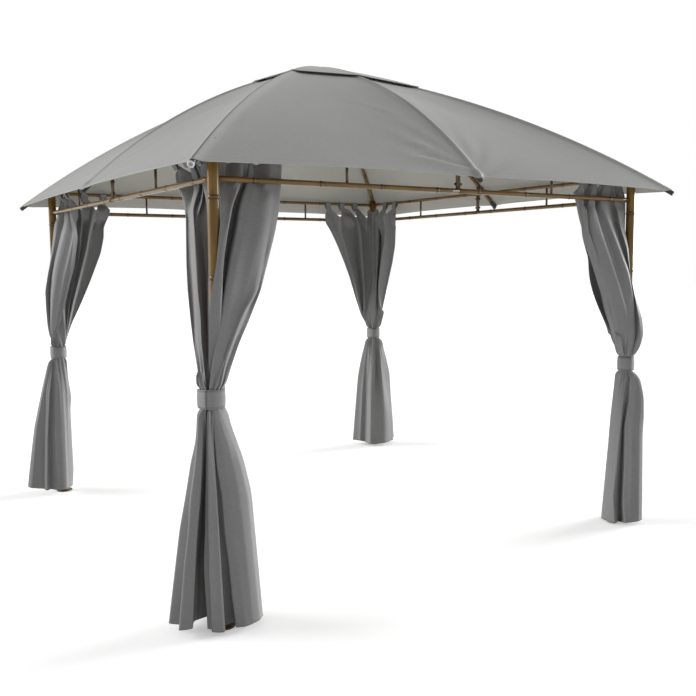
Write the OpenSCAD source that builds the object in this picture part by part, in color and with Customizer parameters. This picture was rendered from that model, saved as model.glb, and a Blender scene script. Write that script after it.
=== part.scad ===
// Garden gazebo: bamboo-look tube frame, domed cloth roof with a vent cap, and four tied curtains.
// Millimetres, +Z up. The origin is on the ground at the middle of the plan; the front is -Y.

/* [Plan] */
// Distance between post axes, both ways
post_spacing = 2660; // [2560:10:2700]

/* [Posts] */
// Outer diameter of a post
post_d = 50; // [44:1:54]
// Height of the lowest bamboo ring on a post
post_ring_z = 180; // [120:5:240]
// Distance between bamboo rings, on posts and rails
ring_pitch = 335; // [300:5:360]
// How far a bamboo ring stands out of its tube
ring_rise = 1.8; // [0.8:0.1:2.4]
// Length of a bamboo ring along its tube
ring_w = 14; // [8:1:20]

/* [Feet] */
// Diameter of a foot plate
foot_d = 104; // [100:1:116]
// Thickness of a foot plate
foot_t = 6; // [4:0.5:10]
// Height of the collar above the foot plate
collar_h = 40; // [25:1:60]
// Wall of the collar round the post
collar_wall = 4; // [3:0.5:5]
// Diameter of a peg hole
peg_hole_d = 9; // [7:0.5:10]
// Distance between the two peg holes of a foot
peg_spacing = 82; // [80:1:84]

/* [Side frames] */
// Outer diameter of a rail
rail_d = 25; // [22:1:26]
// Gap between the upper rail and the side rib that passes over it
rib_gap = 35; // [20:1:60]
// Distance between the axes of the upper and the lower rail
rail_spread = 130; // [110:2:160]
// Outer diameter of an upright between the rails
upright_d = 14; // [10:1:16]
// Distance of the first bamboo ring on a rail from the post axis
rail_ring_start = 190; // [170:5:210]

/* [Roof ribs] */
// Outer diameter of a rib
rib_d = 25; // [22:1:26]
// Height of the cloth at an eave corner
corner_z = 1988; // [1900:2:2100]
// Height of the roof's crown above the eave corners
roof_rise = 798; // [700:2:860]
// How far an eave corner reaches past its post, along each side
eave_out = 160; // [140:2:200]
// How far the eave is drawn in at the middle of a side
eave_draw = 8; // [0:1:20]
// How much higher the eave is at the middle of a side
eave_lift = 12; // [0:1:20]
// Curve radius of the roof along a corner rib
hip_radius = 6100; // [5600:20:7000]
// Curve radius of the roof along a side rib
side_radius = 2940; // [2800:10:3200]
// How deep the corner rib sits in the top of its post
saddle = 8; // [5:1:10]
// Length of the black end cap on each rib
cap_len = 46; // [30:2:60]
// How far an end cap stands out past the cloth
cap_out = 8; // [5:1:12]

/* [Crown hub] */
// Diameter of the hub that holds the ribs
hub_d = 150; // [120:5:180]
// Height of the hub's drum
hub_h = 46; // [42:1:56]
// Diameter of the stud that carries the vent cap
stud_d = 44; // [30:2:60]

/* [Roof cloth] */
// Thickness of roof and curtain cloth as solids
cloth_t = 3; // [2.4:0.2:3.4]
// Half the square vent opening
vent_half = 360; // [330:5:380]
// Half the vent cap
vent_cap_half = 445; // [430:5:470]
// Height of the vent cap above the main roof curve
vent_lift = 14; // [10:1:20]
// How far the eave is hollowed in between two ribs
scallop = 12; // [0:1:16]

/* [Curtains] */
// How far the curtains' top edge hangs below the upper rail's axis
tab_drop = 85; // [70:1:95]
// Height of the curtains' bottom edge above the ground
curtain_hem = 26; // [20:1:40]
// Height of the middle of the tiebacks
tie_z = 985; // [900:5:1060]
// How much higher the front left tieback sits
tie_up_fl = 27; // [0:1:40]
// How much higher the front right tieback sits
tie_up_fr = -20; // [-40:1:20]
// How much higher the back left tieback sits
tie_up_bl = -5; // [-40:1:20]
// How much higher the back right tieback sits
tie_up_br = -11; // [-40:1:20]
// Height of a tieback band
tie_h = 80; // [60:2:100]
// Thickness of a tieback band
tie_t = 4; // [3:0.5:6]
// Distance of the curtains from the rail axis, inward
curtain_inset = 45; // [43:1:50]
// Depth of the folds at the top, each way
fold_top = 20; // [12:1:21]
// Depth of the folds inside the tieback, each way
fold_tie = 5; // [3:0.5:6]
// Depth of the folds at the bottom edge, each way
fold_hem = 28; // [20:1:30]
// How far round the post a curtain is wrapped, each way, in degrees
wrap = 172; // [150:1:173]
// Clear space round the post inside the gathered curtain
tie_slack = 6; // [5:0.5:8]
// Radius of the bend where a curtain passes its corner
corner_bend = 60; // [40:2:70]
// Distance between hanging tabs, which is one fold
tab_pitch = 132; // [120:2:140]
// Free cloth between a curtain's edge and its first tab
tab_ear = 14; // [5:1:20]
// Nearest that a tab hangs to the post axis
tab_stop = 100; // [90:5:110]
// Width of a hanging tab
tab_w = 46; // [36:1:52]
// Wall of a hanging tab's loop
tab_t = 2.8; // [2.6:0.1:3.2]

/* [Curtain reach] */
// Front left curtain along the front
reach_fl_x = 340; // [320:5:360]
// Front left curtain along the left side
reach_fl_y = 480; // [460:5:500]
// Front right curtain along the front
reach_fr_x = 440; // [420:5:460]
// Front right curtain along the right side
reach_fr_y = 365; // [350:5:380]
// Back left curtain along the back
reach_bl_x = 385; // [370:5:400]
// Back left curtain along the left side
reach_bl_y = 360; // [350:5:380]
// Back right curtain along the back
reach_br_x = 490; // [470:5:500]
// Back right curtain along the right side
reach_br_y = 365; // [350:5:380]
// Mean radius of the front left bottom edge round its post
hem_fl = 145; // [120:5:146]
// Mean radius of the front right bottom edge
hem_fr = 95; // [90:5:140]
// Mean radius of the back left bottom edge
hem_bl = 125; // [115:5:126]
// Mean radius of the back right bottom edge
hem_br = 120; // [110:5:140]

/* [Clearances] */
// Gap where one piece is fitted to another
seat = 0.3; // [0.2:0.05:0.4]
// Gap between the ribs and the cloth that lies on them
cloth_gap = 0.7; // [0.6:0.05:0.9]

/* [Hidden] */
$fn = 48;
post_r = post_d / 2;
rail_r = rail_d / 2;
rib_r = rib_d / 2;
half = post_spacing / 2;
eave_half = half + eave_out;
hip_reach = eave_half * sqrt(2);
side_reach = eave_half - eave_draw;
crown_z = corner_z + roof_rise;
side_z = corner_z + eave_lift;
tie_fold_r = post_r + fold_tie + cloth_t / 2 + tie_slack;
tie_in = tie_fold_r + fold_tie + cloth_t / 2 + seat;
bamboo = [0.50, 0.36, 0.17];
bronze = [0.35, 0.27, 0.16];
black = [0.06, 0.06, 0.06];
roof_grey = [0.62, 0.62, 0.61];
curtain_grey = [0.45, 0.45, 0.45];

// A corner is [name, x sign, y sign, reach along x, reach along y, hem radius, hem shift x, hem shift y,
// tieback height].
CORNERS = [
    ["front_left", -1, -1, reach_fl_x, reach_fl_y, hem_fl, 0, 60, tie_z + tie_up_fl],
    ["front_right", 1, -1, reach_fr_x, reach_fr_y, hem_fr, 6, 6, tie_z + tie_up_fr],
    ["back_left", -1, 1, reach_bl_x, reach_bl_y, hem_bl, -20, -20, tie_z + tie_up_bl],
    ["back_right", 1, 1, reach_br_x, reach_br_y, hem_br, 0, 0, tie_z + tie_up_br],
];
// A side is [name, turn about Z, name of the half at its start, name of the half at its end].
SIDES = [
    ["front", 0, "left", "right"],
    ["right", 90, "front", "back"],
    ["back", 180, "right", "left"],
    ["left", 270, "back", "front"],
];

// The roof curves are circle arcs through the crown and an eave point, in a plane through the middle.
function arc_centre(reach, drop, radius) =
    let (chord = sqrt(reach * reach + drop * drop), back = sqrt(radius * radius - chord * chord / 4))
    [reach / 2 - back * drop / chord, crown_z - drop / 2 - back * reach / chord];
hip_c = arc_centre(hip_reach, crown_z - corner_z, hip_radius);
side_c = arc_centre(side_reach, crown_z - side_z, side_radius);
function arc_z(c, radius, d) = c[1] + sqrt(radius * radius - (d - c[0]) * (d - c[0]));
function hip_height(d) = arc_z(hip_c, hip_radius, d);
function side_height(d) = arc_z(side_c, side_radius, d);
rib_drop = cloth_t + cloth_gap + rib_r;
upper_rail_z = side_height(half) - rib_drop - rib_r - rib_gap - rail_r;
lower_rail_z = upper_rail_z - rail_spread;
curtain_top = upper_rail_z - tab_drop;
function mix(a, b, t) = a * (1 - t) + b * t;

// Move the children from the corner's own axes (x and y run inward along the two sides) to the corner.
module at_corner(c) {
    translate([c[1] * half, c[2] * half, 0])
        mirror([c[1] > 0 ? 1 : 0, 0, 0]) mirror([0, c[2] > 0 ? 1 : 0, 0]) children();
}

// A bamboo-look bar along +Z with rings at the given heights; grow makes the bar's cutter.
module bamboo_bar(r, z0, z1, rings, grow = 0) {
    edge = concat(
        [[r + grow, z0]],
        [for (z = rings) each [
            [r + grow, z - ring_w / 2 - grow], [r + ring_rise + grow, z - ring_w / 5 - grow],
            [r + ring_rise + grow, z + ring_w / 5 + grow], [r + grow, z + ring_w / 2 + grow]]],
        [[r + grow, z1]]
    );
    rotate_extrude() polygon(concat([[0, z0]], edge, [[0, z1]]));
}

// A tube bent to a roof curve, from one distance from the middle to another, turned to its direction.
module bent_tube(c, radius, d0, d1, r, turn) {
    rho = radius - rib_drop;
    a0 = acos((d0 - c[0]) / rho);
    a1 = acos((d1 - c[0]) / rho);
    rotate([0, 0, turn]) translate([c[0], 0, c[1]]) rotate([90, 0, 0]) rotate([0, 0, a1])
        rotate_extrude(angle = a0 - a1, $fn = 128) translate([rho, 0]) circle(r, $fn = 32);
}

// Post with bamboo rings, its top saddled to the corner rib.
module post(c) {
    axis = half * sqrt(2);
    top = hip_height(axis) - rib_drop - saddle;
    color(bamboo) difference() {
        translate([c[1] * half, c[2] * half, 0])
            bamboo_bar(post_r, foot_t + seat, top,
                [for (z = [post_ring_z : ring_pitch : lower_rail_z - rail_r - ring_w]) z]);
        bent_tube(hip_c, hip_radius, axis - 2 * post_d, axis + 2 * post_d, rib_r + seat, atan2(c[2], c[1]));
    }
}

// Foot: plate with two peg holes and a collar that takes the post.
module foot(c) {
    color(bronze) translate([c[1] * half, c[2] * half, 0]) difference() {
        union() {
            cylinder(h = foot_t, d = foot_d);
            cylinder(h = foot_t + collar_h, r = post_r + seat + collar_wall);
        }
        translate([0, 0, foot_t]) cylinder(h = collar_h + 1, r = post_r + seat);
        for (s = [-1, 1]) translate([s * peg_spacing / 2, 0, -1]) cylinder(h = foot_t + 2, d = peg_hole_d);
    }
}

// Rail along +X of a side, measured from the post axis at its start.
module rail(z, length, grow = 0) {
    translate([0, 0, z]) rotate([0, 90, 0])
        bamboo_bar(rail_r, 0, length,
            [for (x = [rail_ring_start : ring_pitch : length - ring_w]) x], grow);
}

// Half a side frame: two rails and two uprights, from the post to the middle of the side.
module side_half() {
    reach = half - seat / 2;
    rib_z = side_height(half) - rib_drop;
    difference() {
        union() {
            rail(lower_rail_z, reach);
            rail(upper_rail_z, reach);
            translate([half / 2, 0, lower_rail_z]) cylinder(h = rail_spread, d = upright_d);
            translate([reach - upright_d / 2, 0, lower_rail_z])
                cylinder(h = rib_z - lower_rail_z, d = upright_d);
        }
        cylinder(h = upper_rail_z + rail_d, r = post_r + seat);
    }
}

// Place a half side frame: end 0 starts at the side's first post, end 1 at its second.
module side_frame(s, end) {
    color(bamboo) rotate([0, 0, s[1]]) difference() {
        translate([end == 0 ? -half : half, -half, 0]) mirror([end, 0, 0]) side_half();
        bent_tube(side_c, side_radius, half - 2 * rail_d, half + 2 * rail_d, rib_r + seat, -90);
    }
}

// Corner rib from the hub to its end cap.
module hip_rib(c) {
    color(bamboo) bent_tube(hip_c, hip_radius, hub_d / 2 + seat, hip_reach + cap_out - cap_len - seat,
        rib_r, atan2(c[2], c[1]));
}

// Side rib from the hub to its end cap.
module side_rib(s) {
    color(bamboo) bent_tube(side_c, side_radius, hub_d / 2 + seat, side_reach + cap_out - cap_len - seat,
        rib_r, s[1] - 90);
}

// Drum that takes the eight ribs, with a stud under the vent cap.
module crown_hub() {
    drum_z = hip_height(hub_d / 2) - rib_drop - hub_h / 2;
    cloth_z = min(hip_height(stud_d / 2), side_height(stud_d / 2)) + vent_lift - cloth_t;
    color(bamboo) translate([0, 0, drum_z]) {
        cylinder(h = hub_h, d = hub_d);
        cylinder(h = cloth_z - cloth_gap - drum_z, d = stud_d);
    }
}

// Black end caps of the corner ribs.
module hip_end_caps() {
    color(black) for (t = [45 : 90 : 315])
        bent_tube(hip_c, hip_radius, hip_reach + cap_out - cap_len, hip_reach + cap_out, rib_r, t);
}

// Black end caps of the side ribs.
module side_end_caps() {
    color(black) for (t = [0 : 90 : 270])
        bent_tube(side_c, side_radius, side_reach + cap_out - cap_len, side_reach + cap_out, rib_r, t);
}

// A point of the roof curve in one of eight directions, 45 degrees apart: even ones are side ribs.
function rib_point(d, s) =
    let (r = s * (d % 2 == 0 ? side_reach : hip_reach), z = d % 2 == 0 ? side_height(r) : hip_height(r))
    [r * cos(45 * d), r * sin(45 * d), z];
// A point of the roof between direction d and the next one, v from 0 to 1.
function roof_point(d, v, s) = mix(rib_point(d, s), rib_point(d + 1, s), v);

// Roof panel over one side: two flat-ruled halves that meet at the side rib and end at the corner ribs.
module roof_panel(s) {
    d = (s[1] - 90) / 45 + 8;
    rows = 12;
    cols = 4;
    s0 = vent_half / eave_half;
    top = [for (i = [0 : rows], j = [0 : 2 * cols])
        let (v = j / cols, side = v < 1 ? 0 : 1, w = v - side,
            edge = 1 - scallop / eave_half * 4 * w * (1 - w))
        roof_point(d - 1 + side, w, mix(s0, edge, i / rows))];
    n = 2 * cols + 1;
    m = len(top);
    down = [for (p = top) p - [0, 0, cloth_t]];
    // The rim goes round the panel's four edges in order, and joins the top to the underside.
    rim = concat([for (j = [0 : n - 2]) j], [for (i = [0 : rows - 1]) i * n + n - 1],
        [for (j = [n - 1 : -1 : 1]) rows * n + j], [for (i = [rows : -1 : 1]) i * n]);
    faces = concat(
        [for (i = [0 : rows - 1], j = [0 : n - 2], a = i * n + j, b = a + n)
            each [[a, a + 1, b + 1], [a, b + 1, b],
                [m + a, m + b + 1, m + a + 1], [m + a, m + b, m + b + 1]]],
        [for (k = [0 : len(rim) - 1], a = rim[k], b = rim[(k + 1) % len(rim)])
            each [[a, m + a, m + b], [a, m + b, b]]]
    );
    color(roof_grey) rotate([0, 0, s[1]]) translate([0, -seat, 0]) rotate([0, 0, -s[1]])
        polyhedron(concat(top, down), faces);
}

// Vent cap: a small roof of the same curves, lifted above the vent opening.
module vent_cap() {
    rows = 5;
    cols = 3;
    n = 8 * cols;
    s1 = vent_cap_half / eave_half;
    lift = [0, 0, vent_lift];
    ring = [for (i = [1 : rows], j = [0 : n - 1])
        roof_point(floor(j / cols), (j % cols) / cols, s1 * i / rows) + lift];
    top = concat([[0, 0, crown_z] + lift], ring);
    m = len(top);
    down = [for (p = top) p - [0, 0, cloth_t]];
    function at(i, j) = 1 + (i - 1) * n + j % n;
    faces = concat(
        [for (j = [0 : n - 1]) each [[0, at(1, j + 1), at(1, j)], [m, m + at(1, j), m + at(1, j + 1)]]],
        [for (i = [1 : rows - 1], j = [0 : n - 1]) each [
            [at(i, j), at(i, j + 1), at(i + 1, j + 1)], [at(i, j), at(i + 1, j + 1), at(i + 1, j)],
            [m + at(i, j), m + at(i + 1, j + 1), m + at(i, j + 1)],
            [m + at(i, j), m + at(i + 1, j), m + at(i + 1, j + 1)]]],
        [for (j = [0 : n - 1], a = at(rows, j), b = at(rows, j + 1)) each [[a, b, m + b], [a, m + b, m + a]]]
    );
    color(roof_grey) polyhedron(concat(top, down), faces);
}

// Curtain of one corner: hung inside the rails, drawn together round the post by the tieback, flared below.
// A step that is 0 before the corner and grows like x after it, with a round bend between.
function soft_step(x) = (x + sqrt(x * x + corner_bend * corner_bend)) / 2;
// Fold wave along the curtain: one fold a tab, counted from each free edge.
function fold(c, s, la, lb) =
    let (w = max(0, min(1, (s - la) / corner_bend / 2 + 0.5)), first = tab_ear + tab_w / 2)
    mix(cos(360 * (s - first) / tab_pitch), cos(360 * (la + lb - s - first) / tab_pitch), w);
function turn(s, la, lb) = 45 + wrap * (s < la ? (s - la) / la : (s - la) / lb);
function top_path(c, s, la, lb) =
    let (d = la - s, wave = fold_top * fold(c, s, la, lb) * min(1, abs(d) / corner_bend),
        px = curtain_inset + soft_step(d), py = curtain_inset + soft_step(-d))
    d > 0 ? [px, py - wave] : [px - wave, py];
// A ring of folds round the post; square is 0 for a round ring and 1 for one with rounded-square sides.
function ring_path(c, s, la, lb, r, depth, square) =
    let (a = turn(s, la, lb), sq = pow(pow(abs(cos(a)), 3) + pow(abs(sin(a)), 3), -1 / 3),
        rr = r * mix(1, sq, square) + depth * fold(c, s, la, lb))
    [rr * cos(a), rr * sin(a)];
// Keep a path clear of the post.
function clear(p) = p * max(1, (post_r + cloth_t / 2 + tie_slack / 2) / norm(p));
function curtain_path(c, s, la, lb, level) =
    let (tie = ring_path(c, s, la, lb, tie_fold_r, fold_tie, 0))
    level[1] <= 1
        ? clear(mix(top_path(c, s, la, lb), tie, pow(level[1], 1.4)))
        : clear(mix(tie, ring_path(c, s, la, lb, c[5], fold_hem, 1) + [c[6], c[7]], pow(level[1] - 1, 0.7)));

module curtain(c) {
    count = 42;
    la = c[3] - curtain_inset;
    lb = c[4] - curtain_inset;
    tie_top = c[8] + tie_h / 2 + tie_t;
    tie_foot = c[8] - tie_h / 2 - tie_t;
    // A level is its height and its stage: 0 at the top edge, 1 at the tieback, 2 at the bottom edge.
    levels = concat(
        [for (t = [0, 0.08, 0.22, 0.4, 0.58, 0.75, 0.89, 1]) [mix(curtain_top, tie_top, t), t]],
        [for (t = [0, 0.06, 0.2, 0.5, 1]) [mix(tie_foot, curtain_hem, t), 1 + t]]
    );
    function at(k, i) = curtain_path(c, i / count * (la + lb), la, lb, levels[k]);
    function normal(k, i) =
        let (e = at(k, min(count, i + 0.4)) - at(k, max(0, i - 0.4)), l = norm(e)) [-e[1] / l, e[0] / l];
    function pt(k, i, side) =
        let (p = at(k, i) + normal(k, i) * side * cloth_t / 2) [p[0], p[1], levels[k][0]];
    n = 2 * (count + 1);
    points = [for (k = [0 : len(levels) - 1]) each concat(
        [for (i = [0 : count]) pt(k, i, 1)], [for (i = [count : -1 : 0]) pt(k, i, -1)])];
    last = (len(levels) - 1) * n;
    faces = concat(
        [for (k = [0 : len(levels) - 2], i = [0 : n - 1], a = k * n + i, b = k * n + (i + 1) % n)
            each [[a, b, b + n], [a, b + n, a + n]]],
        [for (i = [0 : count - 1]) each [[i, n - 2 - i, i + 1], [i, n - 1 - i, n - 2 - i]]],
        [for (i = [0 : count - 1])
            each [[last + i, last + i + 1, last + n - 2 - i], [last + i, last + n - 2 - i, last + n - 1 - i]]]
    );
    color(curtain_grey) at_corner(c) polyhedron(points, faces);
}

// One tab: a loop round the upper rail that narrows to the curtain's top edge.
module tab() {
    r_in = rail_r + seat;
    foot_q = curtain_inset - fold_top;
    foot_z = curtain_top + seat - upper_rail_z;
    translate([tab_w / 2, 0, upper_rail_z]) rotate([0, -90, 0]) linear_extrude(tab_w) difference() {
        union() {
            circle(r_in + tab_t);
            polygon([[0, -r_in - tab_t], [0, r_in + tab_t],
                [foot_z, foot_q + tab_t], [foot_z, foot_q - tab_t]]);
        }
        circle(r_in);
        polygon([[0, -r_in], [0, r_in], [foot_z + 5 * tab_t, foot_q]]);
    }
}

// Tabs of one curtain, spaced from its two free edges; the rail's rings are cut out of them.
module curtain_tabs(c) {
    color(curtain_grey) at_corner(c) {
        difference() {
            for (x = [c[3] - tab_ear - tab_w / 2 : -tab_pitch : tab_stop]) translate([x, 0, 0]) tab();
            rail(upper_rail_z, half - seat, seat);
        }
        mirror([1, -1, 0]) difference() {
            for (x = [c[4] - tab_ear - tab_w / 2 : -tab_pitch : tab_stop]) translate([x, 0, 0]) tab();
            rail(upper_rail_z, half - seat, seat);
        }
    }
}

// Tieback band round the gathered curtain.
module tieback(c) {
    color(curtain_grey) translate([c[1] * half, c[2] * half, c[8] - tie_h / 2]) difference() {
        cylinder(h = tie_h, r = tie_in + tie_t);
        translate([0, 0, -1]) cylinder(h = tie_h + 2, r = tie_in);
    }
}

for (c = CORNERS) {
    post(c);
    foot(c);
    hip_rib(c);
    curtain(c);
    curtain_tabs(c);
    tieback(c);
}
for (s = SIDES) {
    side_frame(s, 0);
    side_frame(s, 1);
    side_rib(s);
    roof_panel(s);
}
crown_hub();
hip_end_caps();
side_end_caps();
vent_cap();
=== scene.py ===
"""Looks of a garden gazebo: bamboo-look tube frame, domed grey cloth roof and four tied curtains.

Metres, +Z up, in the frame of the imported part: the origin is on the ground at the middle of the plan.
Every new piece is a grid surface or a profile carried along a path, worked out with numpy arrays.
"""
import math

import bpy
import mathutils
import numpy as np
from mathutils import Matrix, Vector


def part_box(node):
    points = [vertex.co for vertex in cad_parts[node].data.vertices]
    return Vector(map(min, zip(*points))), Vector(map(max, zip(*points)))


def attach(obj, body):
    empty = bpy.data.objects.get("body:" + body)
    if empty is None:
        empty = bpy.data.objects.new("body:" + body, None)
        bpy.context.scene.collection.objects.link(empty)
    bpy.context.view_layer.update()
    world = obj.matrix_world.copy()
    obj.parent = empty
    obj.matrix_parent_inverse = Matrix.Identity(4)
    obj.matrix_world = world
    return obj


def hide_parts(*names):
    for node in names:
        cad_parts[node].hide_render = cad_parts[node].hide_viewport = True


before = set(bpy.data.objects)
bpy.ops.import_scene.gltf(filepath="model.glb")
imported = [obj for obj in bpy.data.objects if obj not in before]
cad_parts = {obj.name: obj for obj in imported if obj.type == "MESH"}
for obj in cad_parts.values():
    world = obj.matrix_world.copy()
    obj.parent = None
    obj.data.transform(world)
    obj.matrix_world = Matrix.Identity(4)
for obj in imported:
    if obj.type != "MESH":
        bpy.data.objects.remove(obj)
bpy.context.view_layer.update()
TAU = 2 * math.pi
UP = np.array([0, 0, 1.0])

# Sizes of the frame's pieces
RAIL_SPREAD = 0.130        # between the axes of the two rails of a side
UPRIGHT_R = 0.007
RIB_R = 0.0125
RAIL_SEAT = 0.020          # from a post's axis to the rail's end in the post
RIB_SEAT = 0.010           # of a rib's end in the hub
RAIL_GAP = 0.0002          # from the middle of a side to each half's rails
UPRIGHT_GAP = 0.0003       # from the middle of a side to each half's upright
CAP_LENGTH = 0.046
CAP_OUT = 0.008            # of a cap past the eave

# Rings of the bamboo
RING_RISE = 0.0018
RIB_RING_RISE = 0.0004
RING_PITCH = 0.335
POST_RING_Z = 0.180        # lowest ring on a post
RAIL_RING_START = 0.190    # first ring on a rail, from the post's axis
RAIL_RING_END = 0.020      # bare end of a rail
RIB_RING_START = 0.200     # first ring on a rib, from the hub
RIB_RING_END = 0.100       # bare end of a rib
RING_HALF = 0.006
GROOVE_AT = 0.0085         # from the middle of a ring to the groove beside it
GROOVE_HALF = 0.0025
GROOVE_SHARE = 0.4         # depth of the groove as a share of the ring's rise
STATION_PITCH = 0.060      # between points along a plain stretch
RING_STATIONS = np.array([-18, -12, -9, -7, -5, -3, -1.5, 0, 1.5, 3, 5, 7, 9, 12, 18]) / 1000

# Roof curves, as in the solids: circle arcs from the crown to the eave
CORNER_Z = 1.988
SIDE_Z = 2.000
HIP_RADIUS = 6.100
SIDE_RADIUS = 2.940
CLOTH = 0.003
CLOTH_GAP = 0.0007
RIB_DROP = CLOTH + CLOTH_GAP + RIB_R
VENT_HALF = 0.360
VENT_CAP_HALF = 0.445
VENT_LIFT = 0.014

# How the roof cloth lies
SCALLOP = 0.012            # hollow of the eave between two ribs
VENT_SCALLOP = 0.004
RIDGE_AT_SIDE = 0.015      # half width of the ridge over a side rib
RIDGE_AT_HIP = 0.030       # half width of the ridge over a hip rib
FAN_REACH = 0.22           # from a side rib's end to the strongest tension wrinkles
FAN_SPREAD = 0.20
CREASE_HALF = 0.011
TIP_HALF = 0.026           # the tip of cloth over a side rib's cap
TIP_LENGTH = 0.050
TIP_OUT = 0.012
FLAP_LENGTH = 0.014
FLAP_DROP = 0.014
HEM_STEP = 0.0012
HEM_W = 0.024
HIP_SEAM_HALF = 0.004
SIDE_STITCH_AT = 0.012     # from a side rib to the stitches beside it
ROOF_THICK = 0.0015
BINDING_DROP = 0.0008      # of the binding tape's middle below the edge that it covers

# Curtains, their tabs and their tiebacks
TAB_LINE = 0.025           # from the rail's axis to the curtain's top edge, into the room
TAB_PITCH = 0.132
TAB_W = 0.046
TAB_EAR = 0.014            # free cloth outside the last tab
TAB_FOOT = 0.034           # from the rail's axis down to the curtain's edge at a tab
TAB_TUCK = 0.020           # of a tab's foot below the curtain's edge
TAB_SAG = 0.072            # dip of the edge between two tabs
TAB_STITCH = 0.019         # from a tab's middle line to its stitches
FIRST_TAB = TAB_EAR + TAB_W / 2
WEAVE_TOP = 0.085          # from the rail's axis down to where the weave is measured from
LAST_TAB = 0.100           # no tab is nearer to the post's axis
TAB_EASE = 0.0022          # of a tab over the rail's surface
CORNER_BEND = 0.060
CORNER_BLEND = 0.06        # each way from the corner, where one leg's values turn into the other's
WRAP = math.radians(172)   # round the post, each way from the corner
FOLD_DEPTH = 0.056         # under the rail
FOLD_SWELL = 0.018         # more, half way down to the tieback
FOLD_LEAST = 0.012         # added at every height
FOLD_FLARE = 0.050         # below the tieback
GATHERS = 19
GATHER_DEPTH = 0.007
GATHER_FADE = (9.5, 9.2)   # how fast the gathers fade above and below the tieback
FOLD_LINE_REACH = 0.05     # each way along the top edge, where a fold line gives the fold
FOOT_INSET = 0.045         # of the path from the outside of the bottom edge's folds
FOOT_WAVE = 0.008
ROWS_ABOVE_TIE = 0.52      # share of a curtain's rows
TIE_STAGE = 0.06           # share of the lower half that the tieback covers
TIE_MARGIN = 0.004         # of cloth drawn in above and below the tieback
TIE_PINCH = 0.003          # of the cloth inside the tieback's radius
TIE_SPREAD = 1.3           # how fast the cloth may widen away from the tieback
TIE_TO_TOP = 0.97
TIE_TO_FOOT = 0.92
RAIL_NEAR = 0.05
SIDE_HEM_W = 0.024
FOOT_HEM_W = 0.032
CURTAIN_THICK = 0.0012
TAB_THICK = 0.0016
TIE_THICK = 0.002

# Sizes that the frame gives
post_lo, post_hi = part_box("front_right_post")
rail_lo, rail_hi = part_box("front_frame_left")
HALF = (post_lo.x + post_hi.x) / 2
POST_BOTTOM, POST_TOP = post_lo.z, post_hi.z
POST_R = (post_hi.x - post_lo.x) / 2 - RING_RISE
RAIL_R = (rail_hi.y - rail_lo.y) / 2 - RING_RISE
LOWER_RAIL_Z = rail_lo.z + RAIL_R + RING_RISE
UPPER_RAIL_Z = LOWER_RAIL_Z + RAIL_SPREAD
CROWN_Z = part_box("vent_cap")[1].z - VENT_LIFT
EAVE_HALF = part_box("front_roof_panel")[1].x
SIDE_REACH = -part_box("front_roof_panel")[0].y
HIP_REACH = EAVE_HALF * math.sqrt(2)
HUB_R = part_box("crown_hub")[1].x
TIE_INNER = POST_R + 0.006
POST_CLEAR = POST_R + 0.004
RAIL_CLEAR = RAIL_R + 0.006

# The camera's place, which the fold lines are also seen from
EYE = (-2.7759, -4.5633, 1.5798)

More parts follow.
